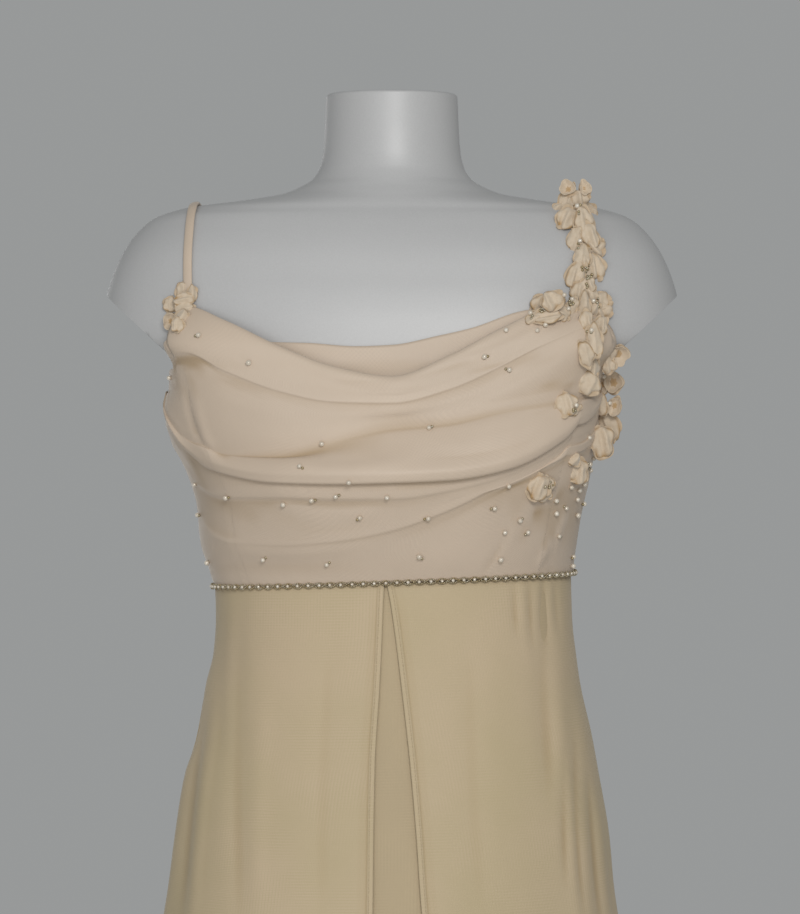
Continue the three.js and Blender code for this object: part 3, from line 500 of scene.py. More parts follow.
# Every chiffon petal by its flower: where its middle shows in the photograph, its half width and half
# length in the photograph's pixels, the turn of its length from upright, and how it is shaped. Later petals
# of a flower lie on earlier ones.
PETALS = {
    "flower_shoulder": [
        (559, 208, 4.5, 5.5, 60, FOLDED), (590, 211, 5.5, 7.5, -25, PUFFED),
        (566, 202, 7, 8, 20, PUFFED), (578, 200, 8, 7.5, -10, PUFFED),
        (583, 190, 4.5, 6.5, -15, CUPPED), (570, 192, 6.3, 6.3, 0, CUPPED),
        (568, 219, 8.5, 10.5, 25, PUFFED), (582, 221, 8.5, 11.5, -8, PUFFED),
    ],
    "flower_upper": [
        (595, 249, 9.5, 8, -40, PUFFED), (582, 257, 7, 9.5, 5, FOLDED),
        (575, 240, 6, 11.5, 15, FOLDED), (588, 236, 7.5, 11.5, -15, PUFFED),
    ],
    "flower_middle": [
        (584, 261, 5, 7, 0, FOLDED), (595, 267, 7.5, 11, -12, PUFFED),
        (576, 275, 8.5, 12.5, 12, PUFFED),
    ],
    "flower_low": [
        (592, 294, 5, 7.5, -20, FOLDED), (587, 286, 7, 7, -20, PUFFED),
        (578, 292, 7, 9, 10, PUFFED),
    ],
    "flower_outer": [
        (592, 309, 5.5, 7.5, 30, FOLDED), (601, 311, 9.5, 7.5, -30, PUFFED),
        (600, 300, 8.5, 7.5, 0, PUFFED),
    ],
    "petal_foot": [
        (572, 307, 5, 8.5, 30, FOLDED), (586, 321, 6, 9.5, -5, PUFFED),
        (583, 308, 5.5, 12, 5, FOLDED),
    ],
    "flower_corner": [
        (534, 318, 5.5, 7.5, 60, FOLDED), (560, 312, 6.5, 8.5, -50, FOLDED),
        (553, 301, 9.5, 8, -30, PUFFED), (541, 305, 8, 9.5, 40, PUFFED),
        (547, 317, 6.5, 12, 82, PUFFED),
    ],
    "petal_armhole_inner": [
        (600, 326, 6, 8.5, 10, PUFFED), (594, 340, 6.5, 13.5, -8, FOLDED),
        (586, 352, 6.5, 11.5, -15, PUFFED),
    ],
    "petal_armhole_outer": [
        (605, 345, 6, 9, 0, FOLDED), (610, 337, 7, 9.5, 10, PUFFED),
        (609, 366, 6, 6.5, -10, PUFFED), (609, 353, 6.5, 9.5, 20, FOLDED),
        (617, 352, 8, 8.5, 0, CUPPED),
    ],
    "petal_side_inner": [
        (593, 368, 5.5, 9, 0, FOLDED), (586, 381, 10.5, 10.5, 20, PUFFED),
    ],
    "flower_side": [
        (602, 385, 6, 7.5, 10, CUPPED), (614, 383, 7.5, 9.5, -20, CUPPED),
        (615, 405, 6, 7.5, 20, CUPPED), (601, 402, 6.5, 11, -20, FOLDED),
    ],
    "petal_front": [
        (573, 409, 5.5, 6, 40, FOLDED), (565, 404, 9.5, 10, -10, PUFFED),
    ],
    "petal_side_long": [
        (609, 424, 9, 14, -20, PUFFED),
    ],
    "petal_side_low": [
        (601, 442, 10.5, 13.5, -10, PUFFED),
    ],
    "flower_low_side": [
        (573, 460, 6.5, 5.5, 40, FOLDED), (577, 470, 9.5, 10.5, 0, PUFFED),
    ],
    "flower_low_front": [
        (546, 483, 6.5, 7.5, -40, PUFFED), (544, 494, 5.5, 6.5, 60, FOLDED),
        (537, 487, 9.5, 11, 20, PUFFED),
    ],
    "petal_left_top": [
        (192, 293, 4, 6.5, 0, FOLDED), (182, 291, 5.5, 7.5, 0, PUFFED),
        (186, 300, 5.5, 8.5, 80, PUFFED),
    ],
    "petal_left_outer": [
        (170, 304, 5.5, 6.5, 0, PUFFED), (171, 321, 5.5, 7, 10, CUPPED),
    ],
    "petal_left_foot": [
        (184, 308, 5, 8, 80, FOLDED), (182, 317, 5.5, 6.5, 30, FOLDED),
        (179, 325, 5.5, 6.5, -10, PUFFED),
    ],
}

# Pearls at the flowers' hearts, and clusters of seed beads with how many there are, by column and row, and
# how far the seeds of a cluster scatter across and down, in pixels.
HEART_PEARLS = [
    (578, 207), (579, 241), (594, 302), (544, 309), (531, 314), (545, 325), (591, 331), (602, 376),
    (609, 402), (575, 405), (563, 296), (572, 300), (568, 309),
]
SEED_CLUSTERS = [
    (586, 268, 7), (589, 276, 8), (566, 297, 7), (572, 304, 6), (543, 311, 5), (549, 486, 6),
    (581, 210, 3), (580, 246, 3), (597, 305, 3), (532, 318, 3), (573, 407, 4), (588, 286, 3),
    (588, 330, 2),
]

CLUSTER_SCATTER = (1.9, 2.3)

# Single beads sewn to the bodice, by their column and row in the photograph: a pearl, with a seed beside
# two of every three.
SINGLE_BEADS = [
    (199, 336), (249, 363), (171, 378), (411, 355), (506, 331), (484, 357), (509, 370), (322, 444),
    (429, 429), (300, 467), (349, 482), (196, 484), (227, 497), (284, 504), (312, 499), (336, 496),
    (387, 497), (360, 517), (197, 515), (209, 562), (264, 559), (327, 564), (508, 485), (494, 508),
    (519, 520), (504, 532), (527, 532), (555, 500), (555, 513), (565, 508), (570, 487), (576, 499),
    (576, 515), (584, 504), (578, 490), (583, 484), (558, 536), (500, 559), (419, 556), (577, 557),
    (571, 566), (428, 518), (588, 438), (592, 458), (588, 464), (589, 470), (537, 331),
]

# The lights: name, place, what each is turned to, size, power and colour.
LIGHTS = [
    ("key", (0.35, -2.8, 2.15), (0, 0, 1.25), (1.0, 0.7), 31, (1.0, 0.99, 0.975)),
    ("fill", (-0.5, -2.6, 0.9), (0, 0, 1.1), (1.8, 1.2), 14, (0.99, 0.99, 1.0)),
    ("back", (-0.6, 2.8, 1.1), (0, 0, 0.95), (2.2, 1.6), 10, (1.0, 0.99, 0.98)),
]
STUDIO_GREY = (0.40, 0.41, 0.41, 1)
STUDIO_LIGHT = 0.78
FLOOR_REACH = 4


def length_value(name, description, millimetres):
    return bpy.props.FloatProperty(
        name=name, description=description, default=millimetres * MM, unit="LENGTH")


def colour_value(name, description, red, green, blue):
    return bpy.props.FloatVectorProperty(
        name=name, description=description, size=4, subtype="COLOR", default=(red, green, blue, 1))


class GownSizes(bpy.types.PropertyGroup):
    cloth: length_value("Cloth", "Thickness of the draped cloth", 0.8)
    petal: length_value("Petal", "Thickness of a chiffon petal", 0.35)
    pearl: length_value("Pearl", "Radius of a single pearl", 1.9)
    seed: length_value("Seed bead", "Radius of a seed bead", 0.95)
    trim_seed: length_value("Trim seed", "Radius of the trim's seed beads", 0.62)
    trim_pitch: length_value("Trim pitch", "Distance between the trim's pearls", 8.2)
    trim_height: length_value("Trim height", "Half the height of the trim's bead loops", 1.65)
    stitch: length_value("Stitch", "Length of one stitch", 2.2)
    thread: length_value("Thread", "Radius of the sewing thread", 0.22)
    hem: length_value("Hem", "Width of the narrow turned hems", 3.8)


class GownColours(bpy.types.PropertyGroup):
    bodice: colour_value("Bodice", "Bodice cloth", 0.645, 0.525, 0.41)
    skirt: colour_value("Skirt", "Outer skirt chiffon", 0.575, 0.457, 0.308)
    under: colour_value("Underskirt", "Layer beneath", 0.51, 0.405, 0.255)
    petal: colour_value("Petals", "Chiffon petals", 0.65, 0.54, 0.41)
    # Painted shade: the ochre that the cloth darkens to in its creases and hollows.
    crease_shade: colour_value("Creases", "Ochre in the creases", 0.36, 0.235, 0.10)
    # Painted shade: the colour that the petals darken to where they gather and in their hollows.
    heart_shade: colour_value("Hearts", "Petals where they gather", 0.42, 0.265, 0.115)
    form: colour_value("Form", "Pearl plastic", 0.53, 0.53, 0.53)
    pearl: colour_value("Pearl", "Pearls", 0.78, 0.72, 0.62)
    gold: colour_value("Seeds", "Old-gold seed beads", 0.42, 0.33, 0.17)


def sizes():
    return bpy.context.scene.gown_sizes


def colours():
    return bpy.context.scene.gown_colours


# Curves and surfaces

def hermite(low, high, low_slope, high_slope, t):
    """A cubic between two values with given slopes for t from 0 to 1."""
    t2 = t * t
    t3 = t2 * t
    return (low * (2 * t3 - 3 * t2 + 1) + high * (3 * t2 - 2 * t3)
            + low_slope * (t3 - 2 * t2 + t) + high_slope * (t3 - t2))


def gentle_slopes(secants):
    """Slopes at each knot that never let the curve overshoot."""
    before = secants[:-1]
    after = secants[1:]
    total = np.where(before + after == 0, 1, before + after)
    inner = np.where(before * after > 0, 2 * before * after / total, 0)
    return np.concatenate([secants[:1], inner, secants[-1:]])


def read(rows, key, column, at):
    """A column's value between the rows of a table, on a smooth curve that doesn't overshoot."""
    knots = rows[key]
    values = rows[column]
    at = np.clip(at, knots[0], knots[-1])
    i = np.clip(np.searchsorted(knots, at, side="right") - 1, 0, len(knots) - 2)
    slopes = gentle_slopes(np.diff(values) / np.diff(knots))
    span = knots[i + 1] - knots[i]
    return hermite(values[i], values[i + 1], slopes[i] * span, slopes[i + 1] * span, (at - knots[i]) / span)


def smooth_step(low, high, value):
    t = np.clip((value - low) / (high - low), 0, 1)
    return t * t * (3 - 2 * t)


def mix(a, b, t):
    return a + (b - a) * t


def outline(angle, width, depth, square):
    """A section's outline at angles round from the front centre towards +X."""
    s = np.sin(angle)
    c = np.cos(angle)
    reach = (np.abs(s) ** square + np.abs(c) ** square) ** (-1 / square)
    return width * s * reach, -depth * c * reach


def sided(rows, angle, z):
    """Half width and depth of a section with its own left, right, front and back."""
    width = np.where(np.sin(angle) < 0, read(rows, "z", "left", z), read(rows, "z", "right", z))
    depth = np.where(np.cos(angle) > 0, read(rows, "z", "front", z), read(rows, "z", "back", z))
    return width, depth


def bodice_base(angle, z):
    width, depth = sided(BODICE, angle, z)
    return outline(angle, width, depth, read(BODICE, "z", "square", z))


def band_height(x):
    return BAND_HEIGHT + BAND_SLOPE * x


def form_depth(x, z, side):
    """How far the form's chest (side 1) or back (side -1) stands from the middle plane."""
    width = read(FORM, "z", "width", z)
    square = read(FORM, "z", "square", z)
    depth = read(FORM, "z", "front" if side > 0 else "back", z)
    across = np.clip(np.abs(x) / width, 0, 1)
    return depth * (1 - across ** square) ** (1 / square)


def form_normal(x, z, side):
    step = 0.5
    along_x = (form_depth(x + step, z, side) - form_depth(x - step, z, side)) / (2 * step)
    along_z = (form_depth(x, z + step, side) - form_depth(x, z - step, side)) / (2 * step)
    normal = np.stack([-along_x, -side * np.ones_like(along_x), -along_z], axis=-1)
    return normal / np.linalg.norm(normal, axis=-1, keepdims=True)


def form_point(x, z, side, lift):
    base = np.stack([x, -side * form_depth(x, z, side), z], axis=-1)
    return base + form_normal(x, z, side) * np.asarray(lift)[..., None]


def line_height(line, angle):
    """Height of one of the drape's lines at angles round the front."""
    degrees = np.abs(np.degrees(angle))
    held = np.sign(angle) * np.radians(np.minimum(degrees, ARMHOLE_ANGLE))
    z = np.full_like(angle, 1250.0)
    for _ in range(LINE_PASSES):
        if line == "band":
            z = band_height(bodice_base(angle, z)[0])
        else:
            z = read(DRAPE_LINES, "x", line, bodice_base(held, z)[0])
    if line == "band":
        return z
    seam = np.where(angle < 0, SEAM_LINES[-1][line], SEAM_LINES[1][line]).astype(float)
    if line == "edge":
        seam = seam + SEAM_EDGE_RISE * (SIDE_SEAM - degrees) / (SIDE_SEAM - ARMHOLE_ANGLE)
    return mix(z, seam, smooth_step(ARMHOLE_ANGLE, SEAM_REACH[line], degrees))


def drape_grid(angles):
    """Heights and lifts of the draped front, as rows down and columns across."""
    across = np.sin(angles)
    fade = 1 - SIDE_CALM * smooth_step(*SIDE_CALM_ANGLES, np.abs(np.degrees(angles)))
    heights = []
    lifts = []
    for line, below, far_left, left, middle, right, far_right, _, tuck in DRAPE:
        lift = np.interp(across, LIFT_PLACES, (far_left, left, middle, right, far_right))
        lift = np.where(lift > 0, lift * fade, lift)
        z = line_height(line, angles) - below
        if heights and not tuck:
            own = smooth_step(-CLOSE_ROWS, CLOSE_ROWS, heights[-1] - z + ROW_GAP)
            lift = mix(lifts[-1], lift, own)
            z = np.minimum(z, heights[-1] - ROW_GAP)
        elif heights:
            z = np.minimum(z, heights[-1] + TUCK_RISE)
        heights.append(z)
        lifts.append(lift)
    blur = np.hanning(LIFT_BLUR) / np.hanning(LIFT_BLUR).sum()
    lifts = [np.convolve(np.pad(lift, LIFT_BLUR // 2, mode="edge"), blur, mode="valid") for lift in lifts]
    return (spread(np.array(values)) for values in (heights, lifts))


def spread(values):
    """Rows between the stops, each stop with its own number of rows down to the next."""
    secants = np.diff(values, axis=0)
    slopes = gentle_slopes(secants)
    rows = []
    for i, stop in enumerate(DRAPE[:-1]):
        for step in range(stop[7]):
            rows.append(hermite(values[i], values[i + 1], slopes[i], slopes[i + 1], step / stop[7]))
    rows.append(values[-1])
    return np.array(rows)


def grid_normals(points):
    """Outward normals of a grid of points."""
    down = np.gradient(points, axis=0)
    across = np.gradient(points, axis=1)
    normals = np.cross(across, down)
    normals /= np.maximum(np.linalg.norm(normals, axis=-1, keepdims=True), 1e-12)
    outward = points[..., :2].mean(axis=(0, 1))
    if (normals[..., :2].mean(axis=(0, 1)) * outward).sum() < 0:
        normals = -normals
    return normals


def photo_point(column, row):
    """The place on the plane through the form's middle that a pixel of the photograph shows."""
    x = (column - MIDDLE_COLUMN) * MM_PER_PIXEL
    z = NECK_TOP - (row - NECK_TOP_ROW) * MM_PER_PIXEL
    return x, z


def camera_place():
    x, z = photo_point(PICTURE_SIZE[0] / 2, PICTURE_SIZE[1] / 2)
    return Vector((x * MM, -CAMERA_DISTANCE, z * MM))


def seen_from_camera(points):
    """Where points in millimetres appear on the plane through the form's middle."""
    eye = np.array(camera_place()) / MM
    share = -eye[1] / (points[..., 1] - eye[1])
    return eye[0] + (points[..., 0] - eye[0]) * share, eye[2] + (points[..., 2] - eye[2]) * share


def add_creases(points, creases, bow_share):
    """Moves a grid of points along its normals by the listed creases, each bowed by a share of its run."""
    normals = grid_normals(points)
    x, z = seen_from_camera(points)
    depth = np.zeros_like(x)
    for c0, r0, c1, r1, width, height in creases:
        x0, z0 = photo_point(c0, r0)
        x1, z1 = photo_point(c1, r1)
        length = math.hypot(x1 - x0, z1 - z0)
        along = ((x - x0) * (x1 - x0) + (z - z0) * (z1 - z0)) / length
        bow = bow_share * length * np.sin(np.clip(along / length, 0, 1) * math.pi)
        off = ((z - z0) * (x1 - x0) - (x - x0) * (z1 - z0)) / length + bow
        fade = smooth_step(CREASE_START[0] * length, CREASE_START[1] * length, along)
        fade = fade * (1 - smooth_step(CREASE_END[0] * length, CREASE_END[1] * length, along))
        depth += height * np.exp(-(off / width) ** 2) * fade
    return points + normals * depth[..., None]


def cloth_uv(points):
    """A cloth map in metres, along the rows and down the columns."""
    step_across = np.linalg.norm(np.diff(points, axis=1), axis=-1)
    step_down = np.linalg.norm(np.diff(points, axis=0), axis=-1)
    across = np.concatenate([np.zeros((points.shape[0], 1)), np.cumsum(step_across, axis=1)], axis=1)
    across -= across[:, -1:] / 2
    down = np.concatenate([np.zeros((1, points.shape[1])), np.cumsum(step_down, axis=0)], axis=0)
    return np.stack([across, -down], axis=-1) * MM


# Meshes

def new_object(name, mesh):
    obj = bpy.data.objects.new(name, mesh)
    bpy.context.scene.collection.objects.link(obj)
    return obj


def mesh_from(name, points, faces, smooth=True):
    mesh = bpy.data.meshes.new(name)
    mesh.from_pydata([tuple(p) for p in points], [], faces)
    if smooth:
        mesh.polygons.foreach_set("use_smooth", [True] * len(mesh.polygons))
    mesh.update()
    return mesh


def hollow_shade_mask(points, ways):
    """How deep each point of a grid lies below its surroundings, from 0 to 1, as the mask for the shade
    painted into the cloth's hollows.

    ways are the steps down and across to those surroundings.
    """
    normals = grid_normals(points)
    total = np.zeros(points.shape[:2])
    for reach in HOLLOW_REACHES:
        padded = np.pad(points, ((reach, reach), (reach, reach), (0, 0)), mode="edge")
        around = np.zeros_like(points)
        for down, across in ways:
            row = reach + down * reach
            column = reach + across * reach
            around += padded[row:row + points.shape[0], column:column + points.shape[1]] / len(ways)
        depth = ((around - points) * normals).sum(axis=-1)
        total += np.clip(depth / HOLLOW_DEPTH, 0, 1)
    total = np.clip(total, 0, 1)
    rim = max(HOLLOW_REACHES)
    total[:rim] *= np.linspace(0, 1, rim)[:, None]
    total[-rim:] *= np.linspace(1, 0, rim)[:, None]
    return total


def cloth_panel(name, points, material, ways=ALL_WAYS):
    """A thin shell of cloth from a grid of points in millimetres."""
    rows, columns = points.shape[:2]
    normals = grid_normals(points)
    index = np.arange(rows * columns).reshape(rows, columns)
    quads = np.stack([index[:-1, :-1], index[1:, :-1], index[1:, 1:], index[:-1, 1:]], axis=-1).reshape(-1, 4)
    middle = normals[rows // 2, columns // 2]
    across = points[rows // 2, columns // 2 + 1] - points[rows // 2, columns // 2]
    down = points[rows // 2 + 1, columns // 2] - points[rows // 2, columns // 2]
    if np.dot(np.cross(down, across), middle) < 0:
        quads = quads[:, ::-1]
    mesh = mesh_from(name, points.reshape(-1, 3) * MM, quads.tolist())
    layer = mesh.uv_layers.new(name="cloth")
    # The hollows' depth, which the cloth's material darkens as painted shade.
    hollow = mesh.attributes.new("hollow", "FLOAT", "POINT")
    hollow.data.foreach_set("value", hollow_shade_mask(points, ways).ravel())
    corners = np.zeros(len(mesh.loops), dtype=np.int32)
    mesh.loops.foreach_get("vertex_index", corners)
    layer.data.foreach_set("uv", cloth_uv(points).reshape(-1, 2)[corners].ravel())
    obj = new_object(name, mesh)
    obj.data.materials.append(material)
    shell = obj.modifiers.new("thickness", "SOLIDIFY")
    shell.thickness = sizes().cloth
    shell.offset = -1
    shell.use_quality_normals = True
    return obj


def tube(name, centres, across, up, width, thickness, corners, material):
    """A flat oval tube along centres in millimetres, closed at its ends.

    Its cloth map takes the way round as 1.6 times the width and thickness together.
    """
    turns = np.arange(corners) / corners * 2 * math.pi
    loops = (centres[:, None] + across[:, None] * np.cos(turns)[None, :, None] * width / 2
             + up[:, None] * np.sin(turns)[None, :, None] * thickness / 2)
    count = len(centres)
    points = loops.reshape(-1, 3)
    faces = []
    for i in range(count - 1):
        for k in range(corners):
            n = (k + 1) % corners
            a = i * corners
            faces.append((a + k, a + n, a + corners + n, a + corners + k))
    faces.append(tuple(range(corners))[::-1])
    faces.append(tuple((count - 1) * corners + k for k in range(corners)))
    mesh = mesh_from(name, points * MM, faces)
    layer = mesh.uv_layers.new(name="cloth")
    lengths = np.concatenate([[0], np.cumsum(np.linalg.norm(np.diff(centres, axis=0), axis=1))])
    for loop in mesh.loops:
        i, k = divmod(loop.vertex_index, corners)
        layer.data[loop.index].uv = (k / corners * (width + thickness) * 1.6 * MM, lengths[i] * MM)
    tidy_normals(mesh)
    obj = new_object(name, mesh)
    obj.data.materials.append(material)
    return obj


def tidy_normals(mesh):
    work = bmesh.new()
    work.from_mesh(mesh)
    bmesh.ops.recalc_face_normals(work, faces=work.faces)
    work.to_mesh(mesh)
    work.free()


def lathe(name, profile, corners, material):
    """A turned body from rows of radius and height in millimetres, on the upright axis."""
    turns = np.arange(corners) / corners * 2 * math.pi
    points = []
    for radius, height in profile:
        points += [(radius * math.cos(t), radius * math.sin(t), height) for t in turns]
    faces = []
    for i in range(len(profile) - 1):
        for k in range(corners):
            n = (k + 1) % corners
            a = i * corners
            faces.append((a + k, a + n, a + corners + n, a + corners + k))
    faces.append(tuple(range(corners))[::-1])
    faces.append(tuple((len(profile) - 1) * corners + k for k in range(corners)))
    mesh = mesh_from(name, np.array(points) * MM, faces)
    tidy_normals(mesh)
    obj = new_object(name, mesh)
    obj.data.materials.append(material)
    return obj


def sharpen(obj, degrees=35):
    """Keeps hard edges hard on a smoothly shaded mesh."""
    work = bmesh.new()
    work.from_mesh(obj.data)
    for edge in work.edges:
        edge.smooth = edge.calc_face_angle(0) < math.radians(degrees)
    work.to_mesh(obj.data)
    work.free()


def surface_tree(*names):
    """A search tree of finished pieces, with their modifiers."""
    points = []
    faces = []
    graph = bpy.context.evaluated_depsgraph_get()
    for name in names:
        obj = bpy.data.objects[name].evaluated_get(graph)
        mesh = obj.to_mesh()
        start = len(points)
        points += [v.co.copy() for v in mesh.vertices]
        faces += [[start + i for i in p.vertices] for p in mesh.polygons]
        obj.to_mesh_clear()
    return BVHTree.FromPolygons(points, faces)


def under_pixel(tree, column, row):
    """Where the camera's ray through a pixel of the photograph meets the cloth, and the normal there."""
    x, z = photo_point(column, row)
    eye = camera_place()
    ray = (Vector((x * MM, 0, z * MM)) - eye).normalized()
    place, normal, _, _ = tree.ray_cast(eye, ray)
    if place is None:
        place, normal, _, _ = tree.find_nearest(Vector((x * MM, -0.03, z * MM)))
    if normal.dot(ray) > 0:
        normal = -normal
    return place, normal


def finish_piece(obj, slot, *nodes):
    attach(obj, BODY)
    if nodes:
        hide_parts(*nodes)
    return obj


# Materials

def put(tree, kind, inputs=None, **settings):
    """Adds a node. An input is a value or another node's output."""
    node = tree.nodes.new(kind)
    for name, value in settings.items():
        setattr(node, name, value)
    for key, value in (inputs or {}).items():
        if isinstance(value, bpy.types.NodeSocket):
            tree.links.new(value, node.inputs[key])
        else:
            node.inputs[key].default_value = value
    return node


def shader_group(name, inputs, outputs):
    """A new shader node group with named sockets, and its two end nodes."""
    tree = bpy.data.node_groups.new(name, "ShaderNodeTree")
    for label, kind, default in inputs:
        socket = tree.interface.new_socket(label, in_out="INPUT", socket_type=kind)
        if default is not None:
            socket.default_value = default
    for label, kind in outputs:
        tree.interface.new_socket(label, in_out="OUTPUT", socket_type=kind)
    return tree, put(tree, "NodeGroupInput"), put(tree, "NodeGroupOutput")


def maths(tree, operation, a, b=0.0):
    return put(tree, "ShaderNodeMath", {0: a, 1: b}, operation=operation).outputs[0]


def weave_group():
    """Fine crossing threads with slubs, on a cloth map in metres."""
    if "cloth weave" in bpy.data.node_groups:
        return bpy.data.node_groups["cloth weave"]
    tree, given, result = shader_group(
        "cloth weave",
        [("Vector", "NodeSocketVector", None), ("Threads", "NodeSocketFloat", 900.0),
         ("Slub", "NodeSocketFloat", 0.5)],
        [("Height", "NodeSocketFloat"), ("Tone", "NodeSocketFloat")])
    axes = put(tree, "ShaderNodeSeparateXYZ", {0: given.outputs["Vector"]})
    wobble = put(tree, "ShaderNodeTexNoise", {
        "Vector": given.outputs["Vector"], "Scale": 260.0, "Detail": 2.0})
    shift = maths(tree, "MULTIPLY", wobble.outputs["Fac"], given.outputs["Slub"])
    waves = []
    for axis in (0, 1):
        turns = maths(tree, "MULTIPLY", axes.outputs[axis], given.outputs["Threads"])
        phase = maths(tree, "MULTIPLY", maths(tree, "ADD", turns, shift), 2 * math.pi)
        waves.append(maths(tree, "SINE", phase))
    crossed = maths(tree, "MULTIPLY", maths(tree, "ADD", waves[0], waves[1]), 0.25)
    tree.links.new(maths(tree, "ADD", crossed, 0.5), result.inputs["Height"])
    cloud = put(tree, "ShaderNodeTexNoise", {"Vector": given.outputs["Vector"], "Scale": 9.0, "Detail": 3.0})
    tone = maths(tree, "ADD", cloud.outputs["Fac"], maths(tree, "MULTIPLY", crossed, 0.16))
    for axis, (bars, patches) in enumerate(((410.0, 17.0), (455.0, 23.0))):
        patch = put(tree, "ShaderNodeTexNoise", {
            "Vector": given.outputs["Vector"], "Scale": patches, "Detail": 1.0})
        mask = put(tree, "ShaderNodeMapRange", {
            "Value": patch.outputs["Fac"], "From Min": 0.46, "From Max": 0.64, "To Max": 0.11})
        turns = maths(tree, "MULTIPLY", axes.outputs[axis], bars * 2 * math.pi)
        bar = maths(tree, "SINE", maths(tree, "ADD", turns, maths(tree, "MULTIPLY", shift, 3.0)))
        tone = maths(tree, "ADD", tone, maths(tree, "MULTIPLY", bar, mask.outputs[0]))
    tree.links.new(tone, result.inputs["Tone"])
    return tree


def new_material(name):
    material = bpy.data.materials.new(name)
    material.use_nodes = True
    tree = material.node_tree
    shader = tree.nodes["Principled BSDF"]
    return material, tree, shader


def cloth_material(name, colour, shade, threads, turn, roughness, gloss, wrinkle):
    """Woven chiffon or crepe on its cloth map, with a soft cloudy tone, small creases and painted shade in its
    hollows.
    """
    if name in bpy.data.materials:
        return bpy.data.materials[name]
    material, tree, shader = new_material(name)
    places = put(tree, "ShaderNodeUVMap", uv_map="cloth")
    turned = put(tree, "ShaderNodeMapping", {
        "Vector": places.outputs[0], "Rotation": (0, 0, math.radians(turn))})
    weave = put(tree, "ShaderNodeGroup", node_tree=weave_group())
    tree.links.new(turned.outputs[0], weave.inputs["Vector"])
    weave.inputs["Threads"].default_value = threads
    tone = put(tree, "ShaderNodeMapRange", {"Value": weave.outputs["Tone"], "From Min": 0.3, "From Max": 0.7})
    mixed = put(tree, "ShaderNodeMix", {0: tone.outputs[0], 6: shade, 7: colour}, data_type="RGBA")
    # Painted shade: the colour turns towards ochre where the cloth lies in a hollow.
    hollow = put(tree, "ShaderNodeAttribute", attribute_name="hollow")
    depth = maths(tree, "MULTIPLY", hollow.outputs["Fac"], HOLLOW_SHADE)
    shade_mixed = put(tree, "ShaderNodeMix", {
        0: depth, 6: mixed.outputs[2], 7: tuple(colours().crease_shade)}, data_type="RGBA")
    tree.links.new(shade_mixed.outputs[2], shader.inputs["Base Color"])
    soft = put(tree, "ShaderNodeTexNoise", {"Vector": turned.outputs[0], "Scale": 55.0, "Detail": 2.0})
    height = maths(tree, "MULTIPLY", soft.outputs["Fac"], wrinkle)
    height = maths(tree, "ADD", maths(tree, "MULTIPLY", weave.outputs["Height"], 0.22), height)
    bump = put(tree, "ShaderNodeBump", {"Height": height, "Strength": 0.6, "Distance": 0.0006})
    tree.links.new(bump.outputs[0], shader.inputs["Normal"])
    shader.inputs["Roughness"].default_value = roughness
    shader.inputs["Sheen Weight"].default_value = 0.1
    shader.inputs["Sheen Roughness"].default_value = 0.45
    shader.inputs["Specular IOR Level"].default_value = gloss
    return material


def shade_of(colour, amount):
    return (colour[0] * amount, colour[1] * amount, colour[2] * amount, 1)


def bodice_cloth():
    c = tuple(colours().bodice)
    return cloth_material(
        "ivory crepe", c, shade_of(c, 0.93), threads=950, turn=45, roughness=0.48, gloss=0.5, wrinkle=0.35)


def skirt_cloth():
    c = tuple(colours().skirt)
    shade = (c[0] * 0.9, c[1] * 0.925, c[2] * 0.85, 1)
    return cloth_material(
        "cream chiffon", c, shade, threads=800, turn=0, roughness=0.68, gloss=0.35, wrinkle=0.3)


def under_cloth():
    c = tuple(colours().under)
    return cloth_material(
        "cream underlayer", c, shade_of(c, 0.92),
        threads=900, turn=0, roughness=0.62, gloss=0.35, wrinkle=0.3)


def petal_band():
    c = tuple(colours().petal)
    return cloth_material(
        "strap chiffon", c, shade_of(c, 0.85), threads=900, turn=45, roughness=0.6, gloss=0.35, wrinkle=0.8)


def petal_cloth():
    """Chiffon petals with painted light and shade: ochre painted shade where they gather at the heart and in
    their hollows, their own colour where painted light falls.
    """
    name = "chiffon petals"
    if name in bpy.data.materials:
        return bpy.data.materials[name]
    material, tree, shader = new_material(name)
    # Painted shade: petals turn ochre where their painted light is low.
    reach = put(tree, "ShaderNodeAttribute", attribute_name="reach")
    ramp = put(tree, "ShaderNodeMapRange", {"Value": reach.outputs["Fac"], "From Min": 0.0, "From Max": 0.6})
    cloud = put(tree, "ShaderNodeTexNoise", {"Scale": 320.0, "Detail": 3.0})
    place = put(tree, "ShaderNodeTexCoord")
    tree.links.new(place.outputs["Object"], cloud.inputs["Vector"])
    spots = put(tree, "ShaderNodeMapRange", {
        "Value": cloud.outputs["Fac"], "From Min": 0.35, "From Max": 0.6, "To Min": 0.86})
    amount = maths(tree, "MULTIPLY", ramp.outputs[0], spots.outputs[0])
    mixed = put(tree, "ShaderNodeMix", {
        0: amount, 6: tuple(colours().heart_shade), 7: tuple(colours().petal)}, data_type="RGBA")
    tree.links.new(mixed.outputs[2], shader.inputs["Base Color"])
    bump = put(tree, "ShaderNodeBump", {
        "Height": cloud.outputs["Fac"], "Strength": 0.35, "Distance": 0.0006})
    tree.links.new(bump.outputs[0], shader.inputs["Normal"])
    shader.inputs["Roughness"].default_value = 0.6
    shader.inputs["Sheen Weight"].default_value = 0.4
    shader.inputs["Specular IOR Level"].default_value = 0.3
    return material


